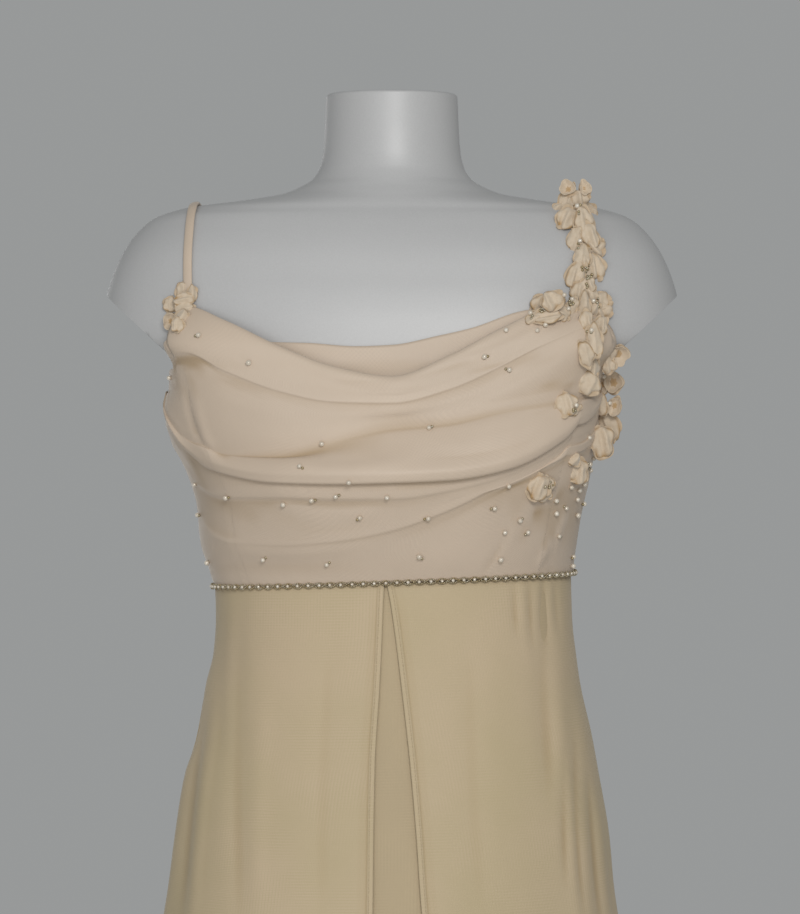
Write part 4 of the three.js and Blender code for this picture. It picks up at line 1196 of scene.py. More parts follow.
def speckled(name, colour, other, scale, roughness, metallic, coat):
    """A hard finish whose colour wanders a little between two tones."""
    if name in bpy.data.materials:
        return bpy.data.materials[name]
    material, tree, shader = new_material(name)
    place = put(tree, "ShaderNodeTexCoord")
    cells = put(tree, "ShaderNodeTexVoronoi", {"Vector": place.outputs["Object"], "Scale": scale})
    axes = put(tree, "ShaderNodeSeparateColor", {0: cells.outputs["Color"]})
    mixed = put(tree, "ShaderNodeMix", {0: axes.outputs[0], 6: colour, 7: other}, data_type="RGBA")
    tree.links.new(mixed.outputs[2], shader.inputs["Base Color"])
    rough = put(tree, "ShaderNodeMapRange", {
        "Value": axes.outputs[1], "To Min": roughness * 0.8, "To Max": roughness * 1.25})
    tree.links.new(rough.outputs[0], shader.inputs["Roughness"])
    shader.inputs["Metallic"].default_value = metallic
    shader.inputs["Coat Weight"].default_value = coat
    return material


def pearl_finish():
    c = tuple(colours().pearl)
    return speckled(
        "pearl", c, (0.66, 0.58, 0.47, 1), scale=300.0, roughness=0.24, metallic=0.15, coat=0.5)


def gold_finish():
    c = tuple(colours().gold)
    return speckled(
        "old gold seed", c, (0.52, 0.48, 0.38, 1), scale=620.0, roughness=0.34, metallic=0.85, coat=0.0)


def thread_finish():
    return speckled(
        "cream thread", (0.56, 0.45, 0.29, 1), (0.48, 0.38, 0.24, 1),
        scale=500.0, roughness=0.6, metallic=0.0, coat=0.0)


def floor_finish():
    return speckled(
        "pale floor", (0.62, 0.62, 0.61, 1), (0.612, 0.612, 0.602, 1),
        scale=160.0, roughness=0.8, metallic=0.0, coat=0.0)


def form_plastic():
    """Pearl plastic with a very fine flake and a soft gloss."""
    name = "pearl plastic"
    if name in bpy.data.materials:
        return bpy.data.materials[name]
    material, tree, shader = new_material(name)
    place = put(tree, "ShaderNodeTexCoord")
    flake = put(tree, "ShaderNodeTexNoise", {
        "Vector": place.outputs["Object"], "Scale": 900.0, "Detail": 2.0})
    cloud = put(tree, "ShaderNodeTexNoise", {
        "Vector": place.outputs["Object"], "Scale": 7.0, "Detail": 4.0})
    both = maths(tree, "ADD", maths(tree, "MULTIPLY", flake.outputs["Fac"], 0.5),
                 maths(tree, "MULTIPLY", cloud.outputs["Fac"], 0.5))
    tone = put(tree, "ShaderNodeMapRange", {"Value": both, "From Min": 0.35, "From Max": 0.65})
    c = tuple(colours().form)
    mixed = put(tree, "ShaderNodeMix", {0: tone.outputs[0], 6: shade_of(c, 0.92), 7: c}, data_type="RGBA")
    tree.links.new(mixed.outputs[2], shader.inputs["Base Color"])
    rough = put(tree, "ShaderNodeMapRange", {"Value": cloud.outputs["Fac"], "To Min": 0.46, "To Max": 0.54})
    tree.links.new(rough.outputs[0], shader.inputs["Roughness"])
    bump = put(tree, "ShaderNodeBump", {"Height": flake.outputs["Fac"], "Strength": 0.06, "Distance": 0.0004})
    tree.links.new(bump.outputs[0], shader.inputs["Normal"])
    shader.inputs["Metallic"].default_value = 0.05
    shader.inputs["Coat Weight"].default_value = 0.25
    shader.inputs["Coat Roughness"].default_value = 0.34
    return material


def stand_metal():
    """Brushed steel with fine rings of scratches."""
    name = "brushed steel"
    if name in bpy.data.materials:
        return bpy.data.materials[name]
    material, tree, shader = new_material(name)
    place = put(tree, "ShaderNodeTexCoord")
    stretched = put(tree, "ShaderNodeMapping", {
        "Vector": place.outputs["Object"], "Scale": (40.0, 40.0, 900.0)})
    grain = put(tree, "ShaderNodeTexNoise", {"Vector": stretched.outputs[0], "Scale": 3.0, "Detail": 3.0})
    mixed = put(tree, "ShaderNodeMix", {
        0: grain.outputs["Fac"], 6: (0.42, 0.42, 0.43, 1), 7: (0.6, 0.6, 0.61, 1)}, data_type="RGBA")
    tree.links.new(mixed.outputs[2], shader.inputs["Base Color"])
    rough = put(tree, "ShaderNodeMapRange", {"Value": grain.outputs["Fac"], "To Min": 0.22, "To Max": 0.45})
    tree.links.new(rough.outputs[0], shader.inputs["Roughness"])
    shader.inputs["Metallic"].default_value = 1.0
    return material


# Geometry Nodes for what repeats

def node_tree(name, inputs):
    """A geometry node tree with named inputs."""
    tree = bpy.data.node_groups.new(name, "GeometryNodeTree")
    tree.interface.new_socket("Geometry", in_out="INPUT", socket_type="NodeSocketGeometry")
    for label, kind in inputs:
        tree.interface.new_socket(label, in_out="INPUT", socket_type=kind)
    tree.interface.new_socket("Geometry", in_out="OUTPUT", socket_type="NodeSocketGeometry")
    return tree, put(tree, "NodeGroupInput"), put(tree, "NodeGroupOutput")


def end_tree(tree, given, result, instances):
    real = put(tree, "GeometryNodeRealizeInstances", {"Geometry": instances})
    smooth = put(tree, "GeometryNodeSetShadeSmooth", {"Geometry": real.outputs[0]})
    painted = put(tree, "GeometryNodeSetMaterial", {
        "Geometry": smooth.outputs[0], "Material": given.outputs["Material"]})
    tree.links.new(painted.outputs[0], result.inputs[0])


def beads_on_points_tree():
    """A ball on every point of the mesh, scaled by the point's own size."""
    name = "beads on points"
    if name in bpy.data.node_groups:
        return bpy.data.node_groups[name]
    tree, given, result = node_tree(name, [
        ("Radius", "NodeSocketFloat"), ("Detail", "NodeSocketInt"), ("Material", "NodeSocketMaterial")])
    ball = put(tree, "GeometryNodeMeshIcoSphere", {
        "Radius": given.outputs["Radius"], "Subdivisions": given.outputs["Detail"]})
    scale = put(tree, "GeometryNodeInputNamedAttribute", {"Name": "size"}, data_type="FLOAT")
    placed = put(tree, "GeometryNodeInstanceOnPoints", {
        "Points": given.outputs["Geometry"], "Instance": ball.outputs[0], "Scale": scale.outputs[0]})
    end_tree(tree, given, result, placed.outputs[0])
    return tree


def beads_on_path_tree():
    """Beads threaded at a pitch along the mesh's own line."""
    name = "beads on a path"
    if name in bpy.data.node_groups:
        return bpy.data.node_groups[name]
    tree, given, result = node_tree(name, [
        ("Radius", "NodeSocketFloat"), ("Pitch", "NodeSocketFloat"), ("Detail", "NodeSocketInt"),
        ("Material", "NodeSocketMaterial")])
    path = put(tree, "GeometryNodeMeshToCurve", {"Mesh": given.outputs["Geometry"]})
    points = put(tree, "GeometryNodeResampleCurve", {
        "Curve": path.outputs[0], "Length": given.outputs["Pitch"]}, mode="LENGTH")
    ball = put(tree, "GeometryNodeMeshIcoSphere", {
        "Radius": given.outputs["Radius"], "Subdivisions": given.outputs["Detail"]})
    placed = put(tree, "GeometryNodeInstanceOnPoints", {
        "Points": points.outputs[0], "Instance": ball.outputs[0]})
    end_tree(tree, given, result, placed.outputs[0])
    return tree


def stitches_tree():
    """Short stitches laid end to end along the mesh's own lines."""
    name = "stitches on a path"
    if name in bpy.data.node_groups:
        return bpy.data.node_groups[name]
    tree, given, result = node_tree(name, [
        ("Radius", "NodeSocketFloat"), ("Length", "NodeSocketFloat"), ("Pitch", "NodeSocketFloat"),
        ("Material", "NodeSocketMaterial")])
    path = put(tree, "GeometryNodeMeshToCurve", {"Mesh": given.outputs["Geometry"]})
    points = put(tree, "GeometryNodeCurveToPoints", {
        "Curve": path.outputs[0], "Length": given.outputs["Pitch"]}, mode="LENGTH")
    thread = put(tree, "GeometryNodeMeshCylinder", {
        "Vertices": 6, "Radius": given.outputs["Radius"], "Depth": given.outputs["Length"]})
    placed = put(tree, "GeometryNodeInstanceOnPoints", {
        "Points": points.outputs[0], "Instance": thread.outputs[0], "Rotation": points.outputs["Rotation"]})
    end_tree(tree, given, result, placed.outputs[0])
    return tree


def grown(name, mesh, tree, values):
    """Runs a node tree on a carrier mesh and keeps the result as a plain mesh."""
    carrier = new_object(name + "_carrier", mesh)
    modifier = carrier.modifiers.new("grow", "NODES")
    modifier.node_group = tree
    for item in tree.interface.items_tree:
        if item.in_out == "INPUT" and item.name in values:
            modifier[item.identifier] = values[item.name]
    graph = bpy.context.evaluated_depsgraph_get()
    result = bpy.data.meshes.new_from_object(carrier.evaluated_get(graph))
    result.name = name
    bpy.data.objects.remove(carrier)
    bpy.data.meshes.remove(mesh)
    if not len(result.polygons):
        raise RuntimeError(name + " has no faces")
    return new_object(name, result)


def line_mesh(name, lines):
    """A mesh of open lines, each a list of points in metres."""
    points = []
    edges = []
    for line in lines:
        start = len(points)
        points += [tuple(p) for p in line]
        edges += [(start + i, start + i + 1) for i in range(len(line) - 1)]
    mesh = bpy.data.meshes.new(name)
    mesh.from_pydata(points, edges, [])
    return mesh


def bead_mesh(name, beads):
    """A mesh of loose points with a size each."""
    mesh = bpy.data.meshes.new(name)
    mesh.from_pydata([tuple(place) for place, _ in beads], [], [])
    sizes_layer = mesh.attributes.new("size", "FLOAT", "POINT")
    sizes_layer.data.foreach_set("value", [size for _, size in beads])
    return mesh


# The form and its stand

def form_mesh():
    corners = FORM_CORNERS
    heights = []
    for low, high in zip(FORM["z"][:-1], FORM["z"][1:]):
        if low < SHOULDER_START:
            count = max(2, int((high - low) / FORM_ROW))
        else:
            count = max(3, int((high - low) / SHOULDER_ROW))
        heights += list(np.linspace(low, high, count, endpoint=False))
    heights.append(FORM["z"][-1])
    z = np.array(heights)[:, None]
    angle = (np.arange(corners) / corners * 2 * math.pi)[None, :]
    depth = np.where(np.cos(angle) > 0, read(FORM, "z", "front", z), read(FORM, "z", "back", z))
    x, y = outline(angle, read(FORM, "z", "width", z), depth, read(FORM, "z", "square", z))
    points = np.stack([x, y, np.broadcast_to(z, x.shape)], axis=-1)
    rows = len(heights)
    index = np.arange(rows * corners).reshape(rows, corners)
    after = np.roll(index, -1, axis=1)
    quads = np.stack([index[:-1], after[:-1], after[1:], index[1:]], axis=-1).reshape(-1, 4).tolist()
    flat = points.reshape(-1, 3).tolist()
    inner = []
    for share, rise in ((0.75, 0.6), (0.4, 1.0)):
        inner.append(len(flat))
        flat += [(px * share, py * share, pz + NECK_CROWN * rise) for px, py, pz in points[-1]]
    loops = [index[-1, 0]] + inner
    for low, high in zip(loops[:-1], loops[1:]):
        for k in range(corners):
            n = (k + 1) % corners
            quads.append((low + k, low + n, high + n, high + k))
    quads.append(tuple(inner[-1] + k for k in range(corners)))
    quads.append(tuple(index[0])[::-1])
    return mesh_from("dress_form", np.array(flat) * MM, quads)


def cut_stumps(mesh):
    """Cuts each arm stump flat, from the armpit to the shoulder point, and rounds the cut's edge."""
    (low_x, low_z), (high_x, high_z) = STUMP_CUT
    work = bmesh.new()
    work.from_mesh(mesh)
    for side in (-1, 1):
        along = Vector((side * (high_x - low_x), 0, high_z - low_z)).normalized()
        outward = Vector((side * abs(along.z), 0, -abs(along.x))).normalized()
        near = [f for f in work.faces if side * f.calc_center_median().x > low_x * MM * 0.97
                and f.calc_center_median().z > low_z * MM]
        near_points = {v for f in near for v in f.verts}
        near_edges = {e for f in near for e in f.edges}
        geom = list(near_points) + list(near_edges) + near
        cut = bmesh.ops.bisect_plane(
            work, geom=geom, plane_co=Vector((side * low_x, 0, low_z)) * MM, plane_no=outward,
            clear_outer=True, dist=1e-7)
        edges = [e for e in cut["geom_cut"] if isinstance(e, bmesh.types.BMEdge)]
        rim = [e for e in edges if e.is_valid and e.is_boundary]
        open_edges = [e for e in work.edges if e.is_boundary]
        made = bmesh.ops.holes_fill(work, edges=open_edges, sides=0)
        for face in made["faces"]:
            face.smooth = True
        if rim:
            bmesh.ops.bevel(
                work, geom=[e for e in rim if e.is_valid], offset=STUMP_EDGE * MM, segments=3, affect="EDGES",
                clamp_overlap=True)
    bmesh.ops.recalc_face_normals(work, faces=work.faces)
    work.to_mesh(mesh)
    work.free()


class GOWN_OT_form(bpy.types.Operator):
    """Adds the limbless dress form"""
    bl_idname = "gown.form"
    bl_label = "Dress form"

    def execute(self, context):
        mesh = form_mesh()
        cut_stumps(mesh)
        form = new_object("dress_form", mesh)
        form.data.materials.append(form_plastic())
        sharpen(form, 50)
        finish_piece(form, "form_shell", "form_torso")
        return {"FINISHED"}


class GOWN_OT_stand(bpy.types.Operator):
    """Adds the stand's base, pole and collar"""
    bl_idname = "gown.stand"
    bl_label = "Stand"

    def execute(self, context):
        metal = stand_metal()
        base_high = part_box("form_base")[1]
        radius = base_high[0] / MM
        top = base_high[2] / MM
        base = lathe("stand_base", [
            (radius - 1.5, 0), (radius - 0.4, 0.5), (radius, 1.6), (radius, top - 2.6),
            (radius - 0.8, top - 0.9), (radius - 2.6, top), (40, top)], 128, metal)
        finish_piece(base, "stand_metal", "form_base")
        pole_low, pole_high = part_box("form_pole")
        r = pole_high[0] / MM
        low = pole_low[2] / MM
        high = pole_high[2] / MM
        pole = lathe("stand_pole", [
            (r + 9, low), (r + 9, low + 3), (r + 7, low + 5), (r + 1.5, low + 9), (r, low + 12),
            (r, high)], 48, metal)
        finish_piece(pole, "stand_metal", "form_pole")
        collar_low, collar_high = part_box("form_collar")
        r = collar_high[0] / MM
        low = collar_low[2] / MM
        high = collar_high[2] / MM
        collar = lathe("stand_collar", [
            (r - 12, low), (r - 10, low + 1), (r - 9, low + 5), (r - 2, low + 7), (r, low + 8.5),
            (r, high - 1), (r - 1, high)], 64, metal)
        finish_piece(collar, "stand_metal", "form_collar")
        for piece in (base, pole, collar):
            sharpen(piece)
        return {"FINISHED"}


# The gown

def draped_front():
    angles = np.radians(np.linspace(-89.95, 89.95, 241))
    heights, lifts = drape_grid(angles)
    turn = np.broadcast_to(angles, heights.shape)
    x, y = bodice_base(turn, heights)
    x = x + np.sin(turn) * lifts * 0.5
    y = y - np.cos(turn) * lifts
    chest = form_depth(x, heights, 1)
    normal = form_normal(x, heights, 1)
    clear = FORM_CLEARANCE / np.maximum(-normal[..., 1], 0.3)
    inside = np.where(chest > 0, np.maximum(-y, chest + clear), -y)
    points = np.stack([x, -inside, heights], axis=-1)
    return add_creases(points, FRONT_CREASES, FRONT_BOW)


def back_panel_points(side):
    gap = math.radians(SEAM_TURN)
    rows, columns = 70, 90
    down = np.linspace(0, 1, rows)[:, None]
    angle = np.linspace(math.pi / 2 + gap, math.pi - gap, columns)[None, :]
    top = read(BACK_EDGE, "angle", "z", np.degrees(angle))
    z = np.full((rows, columns), BAND_HEIGHT)
    for _ in range(LINE_PASSES):
        z = mix(top, band_height(bodice_base(side * angle, z)[0]), down)
    x, y = bodice_base(side * angle + 0 * z, z)
    points = np.stack([x, y, z], axis=-1)
    share = (np.degrees(angle) - SIDE_SEAM) / SIDE_SEAM
    depth = np.zeros_like(z)
    for place, slope, level, reach, width, height in BACK_CREASES:
        off = (z - level) - (share - place) * slope
        fade = np.exp(-((share - place) / reach) ** 2)
        depth += height * np.exp(-(off / width) ** 2) * fade
    seam = 0
    for from_seam in (1 - share, share):
        seam = seam + np.exp(-(from_seam * SEAM_PARTS / SEAM_STRIP) ** 2)
    return points + grid_normals(points) * (depth - SEAM_SINK * seam)[..., None]


class GOWN_OT_bodice(bpy.types.Operator):
    """Adds the draped front, the layer behind it and the two back panels"""
    bl_idname = "gown.bodice"
    bl_label = "Bodice"

    def execute(self, context):
        cloth = bodice_cloth()
        front = cloth_panel("bodice_drape", draped_front(), cloth)
        finish_piece(front, "bodice_crepe", "bodice_front")
        x = np.linspace(FACING_EDGE["x"][0], FACING_EDGE["x"][-1], 120)
        down = np.linspace(0, FACING_DROP, 16)[:, None]
        z = read(FACING_EDGE, "x", "z", x)[None, :] - down
        points = form_point(np.broadcast_to(x, z.shape), z, 1, np.full(z.shape, FACING_LIFT))
        facing = cloth_panel("neck_layer", points, cloth)
        finish_piece(facing, "bodice_crepe", "neck_facing")
        for side, name in ((-1, "left"), (1, "right")):
            points = back_panel_points(side)
            back = cloth_panel("back_panel_" + name, points, cloth)
            finish_piece(back, "bodice_crepe", "bodice_back_" + name)
        return {"FINISHED"}


def strap_frames(rows, thickness, steps):
    """Centres and directions along a strap's route, as on the solids."""
    count = len(rows["x"])
    knots = np.arange(count)
    place = []
    normals = []
    for i in range(count):
        side = -1 if rows["behind"][i] else 1
        x = rows["x"][i:i + 1].astype(float)
        z = rows["z"][i:i + 1].astype(float)
        lift = thickness / 2 + STRAP_LIFT + rows["off"][i]
        place.append(form_point(x, z, side, np.array([lift]))[0])
        normals.append(form_normal(x, z, side)[0])
    at = np.linspace(0, count - 1, steps)
    place = np.array(place)
    normals = np.array(normals)
    centres = np.stack([smooth_through(knots, place[:, k], at) for k in range(3)], axis=-1)
    up = np.stack([np.interp(at, knots, normals[:, k]) for k in range(3)], axis=-1)
    along = np.gradient(centres, axis=0)
    along /= np.linalg.norm(along, axis=1, keepdims=True)
    across = np.cross(along, up)
    across /= np.linalg.norm(across, axis=1, keepdims=True)
    up = np.cross(across, along)
    return centres, across, up


def smooth_through(knots, values, at):
    """A smooth curve through evenly numbered values."""
    slopes = np.gradient(values)
    i = np.clip(at.astype(int), 0, len(knots) - 2)
    return hermite(values[i], values[i + 1], slopes[i], slopes[i + 1], at - i)


class GOWN_OT_straps(bpy.types.Operator):
    """Adds the plain strap and the strap that carries the flowers"""
    bl_idname = "gown.straps"
    bl_label = "Straps"

    def execute(self, context):
        frames = strap_frames(PLAIN_STRAP, PLAIN_STRAP_SIZE[1], STRAP_STEPS)
        plain = tube("shoulder_strap", *frames, *PLAIN_STRAP_SIZE, STRAP_CORNERS, bodice_cloth())
        finish_piece(plain, "bodice_crepe", "strap_plain")
        frames = strap_frames(FLOWER_STRAP, FLOWER_STRAP_SIZE[1], STRAP_STEPS)
        floral = tube("flower_strap", *frames, *FLOWER_STRAP_SIZE, STRAP_CORNERS, petal_band())
        finish_piece(floral, "petal_chiffon", "strap_floral")
        return {"FINISHED"}


def flute_lift(angle, z):
    degrees = np.degrees(angle)
    lift = 0
    for place, width, depth, start in FLUTES:
        turn = np.abs((degrees - place + 540) % 360 - 180)
        growth = np.clip((start - z) / (start - HEM_HEIGHT), 0, 1) ** FLUTE_GROWTH
        lift = lift + depth * growth * np.exp(-(turn / width) ** 2)
    return lift


def skirt_points(angle, z, inset):
    width, depth = sided(SKIRT, angle, z)
    lift = flute_lift(angle, z) * FLUTE_SHARE - inset
    x, y = outline(angle, width + lift, depth + lift, SKIRT_SQUARENESS)
    return np.stack([x, y, z], axis=-1)


def split_angle(side, z):
    x = read(SPLIT, "z", side, z)
    width = np.where(x < 0, read(SKIRT, "z", "left", z), read(SKIRT, "z", "right", z))
    across = np.abs(x) / width
    return np.sign(x) * np.arctan2(across, (1 - across ** SKIRT_SQUARENESS) ** (1 / SKIRT_SQUARENESS))


def skirt_grid(first, last, hem, inset, columns=150, rows=100, turned=None):
    """A skirt panel's points between two edges, each a function of height.

    turned is the edge that carries a narrow turned hem, 0 for the first and 1 for the last.
    """
    down = np.linspace(0, 1, rows)[:, None] ** ROW_CROWDING
    share = np.linspace(0, 1, columns)[None, :]
    z = mix(BAND_HEIGHT, hem, down)
    angle = mix(first(z), last(z), share)
    top = band_height(skirt_points(angle, z + 0 * share, 0)[..., 0]) - BAND_GAP
    z = mix(top, hem, down)
    if turned is None:
        angle = mix(first(z), last(z), share)
        return skirt_points(angle, z, inset(z))
    wide = sizes().hem / MM
    span = np.radians(PANEL_SPAN) * sided(SKIRT, np.radians(PANEL_MIDDLE), z[:, :1])[0]
    folds = np.array(HEM_FOLD)
    near = folds[None, :, 0] * wide / span
    rest = near[:, -1:] + np.linspace(0, 1, columns)[None, 1:] * (1 - near[:, -1:])
    share = np.concatenate([near, rest], axis=1)
    lift = np.concatenate([folds[:, 1], np.zeros(columns - 1)])[None, :]
    if turned:
        share = 1 - share[:, ::-1]
        lift = lift[:, ::-1]
    z = mix(z[:, :1] + 0 * share, z[:, -1:] + 0 * share, share)
    angle = mix(first(z), last(z), share)
    return skirt_points(angle, z, -lift)


def fixed(degrees):
    return lambda z: np.full_like(z, math.radians(degrees))


def outer(z):
    return 0 * z


def under(z):
    up = np.clip((z - HEM_HEIGHT) / (BAND_HEIGHT - HEM_HEIGHT), 0, 1)
    return mix(UNDERSKIRT_INSETS[1], UNDERSKIRT_INSETS[0], up)


def add_back_folds(points):
    """Moves the back panels in or out along their normals by the listed hanging folds."""
    angle = np.degrees(np.arctan2(points[..., 0], -points[..., 1]))
    z = points[..., 2]
    radius = np.hypot(points[..., 0], points[..., 1])
    depth = np.zeros_like(z)
    for place, top, low, width, height in BACK_FOLDS:
        off = np.radians((angle - place + 180) % 360 - 180) * radius
        fade = smooth_step(low - FOLD_LOW_FADE[0], low + FOLD_LOW_FADE[1], z)
        fade = fade * (1 - smooth_step(top - FOLD_TOP_FADE[0], top + FOLD_TOP_FADE[1], z))
        spread_out = width * (1 + (top - z) / FOLD_SPREAD)
        depth += height * np.exp(-(off / spread_out) ** 2) * fade
    return points + grid_normals(points) * depth[..., None]


class GOWN_OT_skirt(bpy.types.Operator):
    """Adds the split chiffon skirt and the layer beneath it"""
    bl_idname = "gown.skirt"
    bl_label = "Skirt"

    def execute(self, context):
        chiffon = skirt_cloth()
        panels = {
            "front_left": (fixed(-90 + SEAM_TURN), lambda z: split_angle("left", z), 1),
            "front_right": (lambda z: split_angle("right", z), fixed(90 - SEAM_TURN), 0),
            "back_left": (fixed(-180 + SEAM_TURN), fixed(-90 - SEAM_TURN), None),
            "back_right": (fixed(90 + SEAM_TURN), fixed(180 - SEAM_TURN), None),
        }
        for name, (first, last, turned) in panels.items():
            points = skirt_grid(first, last, HEM_HEIGHT, outer, turned=turned)
            if turned is None:
                points = add_back_folds(points)
            else:
                points = add_creases(points, SKIRT_CREASES, SKIRT_BOW)
            piece = cloth_panel("outer_skirt_" + name, points, chiffon, ACROSS)
            finish_piece(piece, "skirt_chiffon", "skirt_" + name)
        lower = under_cloth()
        for name, middle in (("front", 0), ("back", 180)):
            ends = fixed(middle - 90 + SEAM_TURN), fixed(middle + 90 - SEAM_TURN)
            points = skirt_grid(*ends, HEM_HEIGHT + UNDER_HEM_RISE, under, columns=110, rows=80)
            piece = cloth_panel("under_skirt_" + name, points, lower, ACROSS)
            finish_piece(piece, "skirt_lining", "underskirt_" + name)
        return {"FINISHED"}


def petal_grid(half_width, half_length, form, dice):
    """One petal's points: across on X, along its length on Y and out on Z, and how light each is painted, 0 to
    1, as painted shade in its gathers, cups and rims and painted highlight on its raised folds.
    """
    s = np.linspace(-1, 1, PETAL_POINTS)[:, None]
    t = np.linspace(-1, 1, PETAL_POINTS)[None, :]
    across = t * np.sqrt(1 - 0.5 * s ** 2)
    along = s * np.sqrt(1 - 0.5 * t ** 2)
    rim = np.clip(np.hypot(across, along), 0, 1)
    turn = np.arctan2(along, across)
    phase = dice.uniform(0, 6.3)
    wobble = 1 + rim ** 2 * (0.1 * np.sin(3 * turn + phase) + 0.06 * np.sin(5 * turn + 2 * phase))
    x = half_width * across * wobble * (1 - 0.1 * along)
    y = half_length * along * wobble
    pleats = np.sin(6 * turn + 3 * phase) * rim ** 1.5
    ruffle = half_width * (0.1 * np.sin(4 * turn + phase) * rim ** 3 + 0.07 * pleats)
    if form == UNDER_LAYER:
        return x, y, ruffle * 1.5 + 0.15 * half_width * rim, 0.05 + 0.4 * rim
    if form == CUPPED:
        z = half_width * (0.8 * rim ** 2.2 - 0.1) - 0.25 * half_width * np.clip(rim - 0.86, 0, 1)
        light = 0.5 + 0.5 * rim ** 2
    elif form == FOLDED:
        z = half_width * (0.85 * (1 - np.abs(across) ** 1.3) * (1 - 0.7 * along ** 2))
        z = z + 0.12 * half_width * np.sin(4 * across + phase)
        light = 1 - rim ** 6
    else:
        pillow = np.sqrt(np.clip(1 - rim ** 3.2, 0, 1))
        gather = np.exp(-((across - 0.3 * math.sin(phase)) / 0.2) ** 2) * (0.5 - 0.5 * along)
        second = across + 0.35 + 0.2 * math.cos(phase)
        gather = gather + 0.7 * np.exp(-(second / 0.16) ** 2) * (0.4 - 0.5 * along)
        fold = np.exp(-((across - 0.35 * math.cos(phase)) / 0.22) ** 2)
        turned = 0.3 * rim ** 5 * np.cos(turn - phase)
        z = half_width * (0.42 * pillow + (0.3 * fold - 0.3 * gather) * (1 - rim ** 4) + turned)
        # Painted light and shade: lighter on the raised fold, darker in the gathers and at the rim.
        light = 0.72 + 0.28 * fold + 0.2 * pleats - rim ** 9 - 0.6 * gather * rim
    return x, y, z + ruffle, np.clip(light, 0, 1)


def petal_seat(tree, node_depth, column, row):
    """A place on the cloth under a pixel, or at the flower's own depth past the cloth's edge, and the way a
    petal there faces."""
    x, z = photo_point(column, row)
    eye = camera_place()
    ray = (Vector((x * MM, 0, z * MM)) - eye).normalized()
    place, normal, _, _ = tree.ray_cast(eye, ray)
    share = SEAT_TILT
    if place is None or abs(place.y - node_depth) > SEAT_REACH:
        place = eye + ray * ((node_depth - eye.y) / ray.y)
        _, normal, _, _ = tree.find_nearest(place)
        share = LOOSE_TILT
    if normal.dot(ray) > 0:
        normal = -normal
    return place, (normal * share - ray).normalized()


def flower_mesh(node, tree, dice):
    """A flower of chiffon petals, each laid where the photograph shows it."""
    low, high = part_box(node)
    depth = (low[1] + high[1]) / 2
    points = []
    faces = []
    petal_light = []
    for order, (column, row, half_width, half_length, turn, form) in enumerate(PETALS[node]):
        place, axis = petal_seat(tree, depth, column, row)
        across = Vector((0, 0, 1)).cross(axis).normalized()
        upward = axis.cross(across).normalized()
        lean = math.radians(-turn)
        side = across * math.cos(lean) + upward * math.sin(lean)
        along = upward * math.cos(lean) - across * math.sin(lean)
        axis = axis + along * dice.uniform(-PETAL_LEAN, PETAL_LEAN)
        axis = (axis + side * dice.uniform(-PETAL_LEAN, PETAL_LEAN)).normalized()
        for kind, grow, drop in ((UNDER_LAYER, UNDER_PETAL, UNDER_LAYER_DROP), (form, UPPER_PETAL, 0.0)):
            x, y, z, near = petal_grid(
                half_width * MM_PER_PIXEL * grow, half_length * MM_PER_PIXEL * grow, kind, dice)
            lift = PETAL_LIFT + order * PETAL_LAYER - drop
            first = len(points)
            rows, columns = x.shape
            for i in range(rows):
                for j in range(columns):
                    off = side * x[i, j] + along * y[i, j] + axis * (z[i, j] + lift)
                    points.append(place + off * MM)
                    petal_light.append(near[i, j])
            for i in range(rows - 1):
                for j in range(columns - 1):
                    a = first + i * columns + j
                    faces.append((a, a + 1, a + columns + 1, a + columns))
    mesh = mesh_from("bloom_" + node, points, faces)
    # How light each point is painted, kept as "reach" for the petals' material.
    layer = mesh.attributes.new("reach", "FLOAT", "POINT")
    layer.data.foreach_set("value", petal_light)
    return mesh


class GOWN_OT_flowers(bpy.types.Operator):
    """Adds the chiffon flowers and petals on the strap and bodice"""
    bl_idname = "gown.flowers"
    bl_label = "Flowers"

    def execute(self, context):
        dice = random.Random(7)
        tree = surface_tree("bodice_drape", "flower_strap", "shoulder_strap", "dress_form")
        for node in PETALS:
            bloom = new_object("bloom_" + node, flower_mesh(node, tree, dice))
            bloom.data.materials.append(petal_cloth())
            shell = bloom.modifiers.new("thickness", "SOLIDIFY")
            shell.thickness = sizes().petal
            shell.offset = -1
            finish_piece(bloom, "petal_chiffon", node)
        return {"FINISHED"}


def trim_paths():
    """The trim's middle line and the two bead loops that cross between its pearls, in metres."""
    count = 1600
    angle = np.linspace(0, 2 * math.pi, count)
    z = band_height(bodice_base(angle, np.full(count, BAND_HEIGHT))[0])
    x, y = bodice_base(angle, z)
    along = np.gradient(np.stack([x, y], axis=-1), axis=0)
    outward = np.stack([along[:, 1], -along[:, 0]], axis=-1)
    outward /= np.linalg.norm(outward, axis=1, keepdims=True)
    middle = np.stack([x + outward[:, 0] * TRIM_OUT, y + outward[:, 1] * TRIM_OUT, z], axis=-1) * MM
    length = np.concatenate([[0], np.cumsum(np.linalg.norm(np.diff(middle, axis=0), axis=1))])
    pitch = length[-1] / round(length[-1] / sizes().trim_pitch)
    loops = []
    for sign in (-1, 1):
        swing = sign * np.sin(length / pitch * math.pi)
        wave = middle.copy()
        wave[:, 2] += swing * sizes().trim_height
        wave[:, :2] += outward * (sign * TRIM_WEAVE * MM * np.cos(length / pitch * math.pi))[:, None]
        loops.append(wave)
    return middle, outward, loops, pitch, length


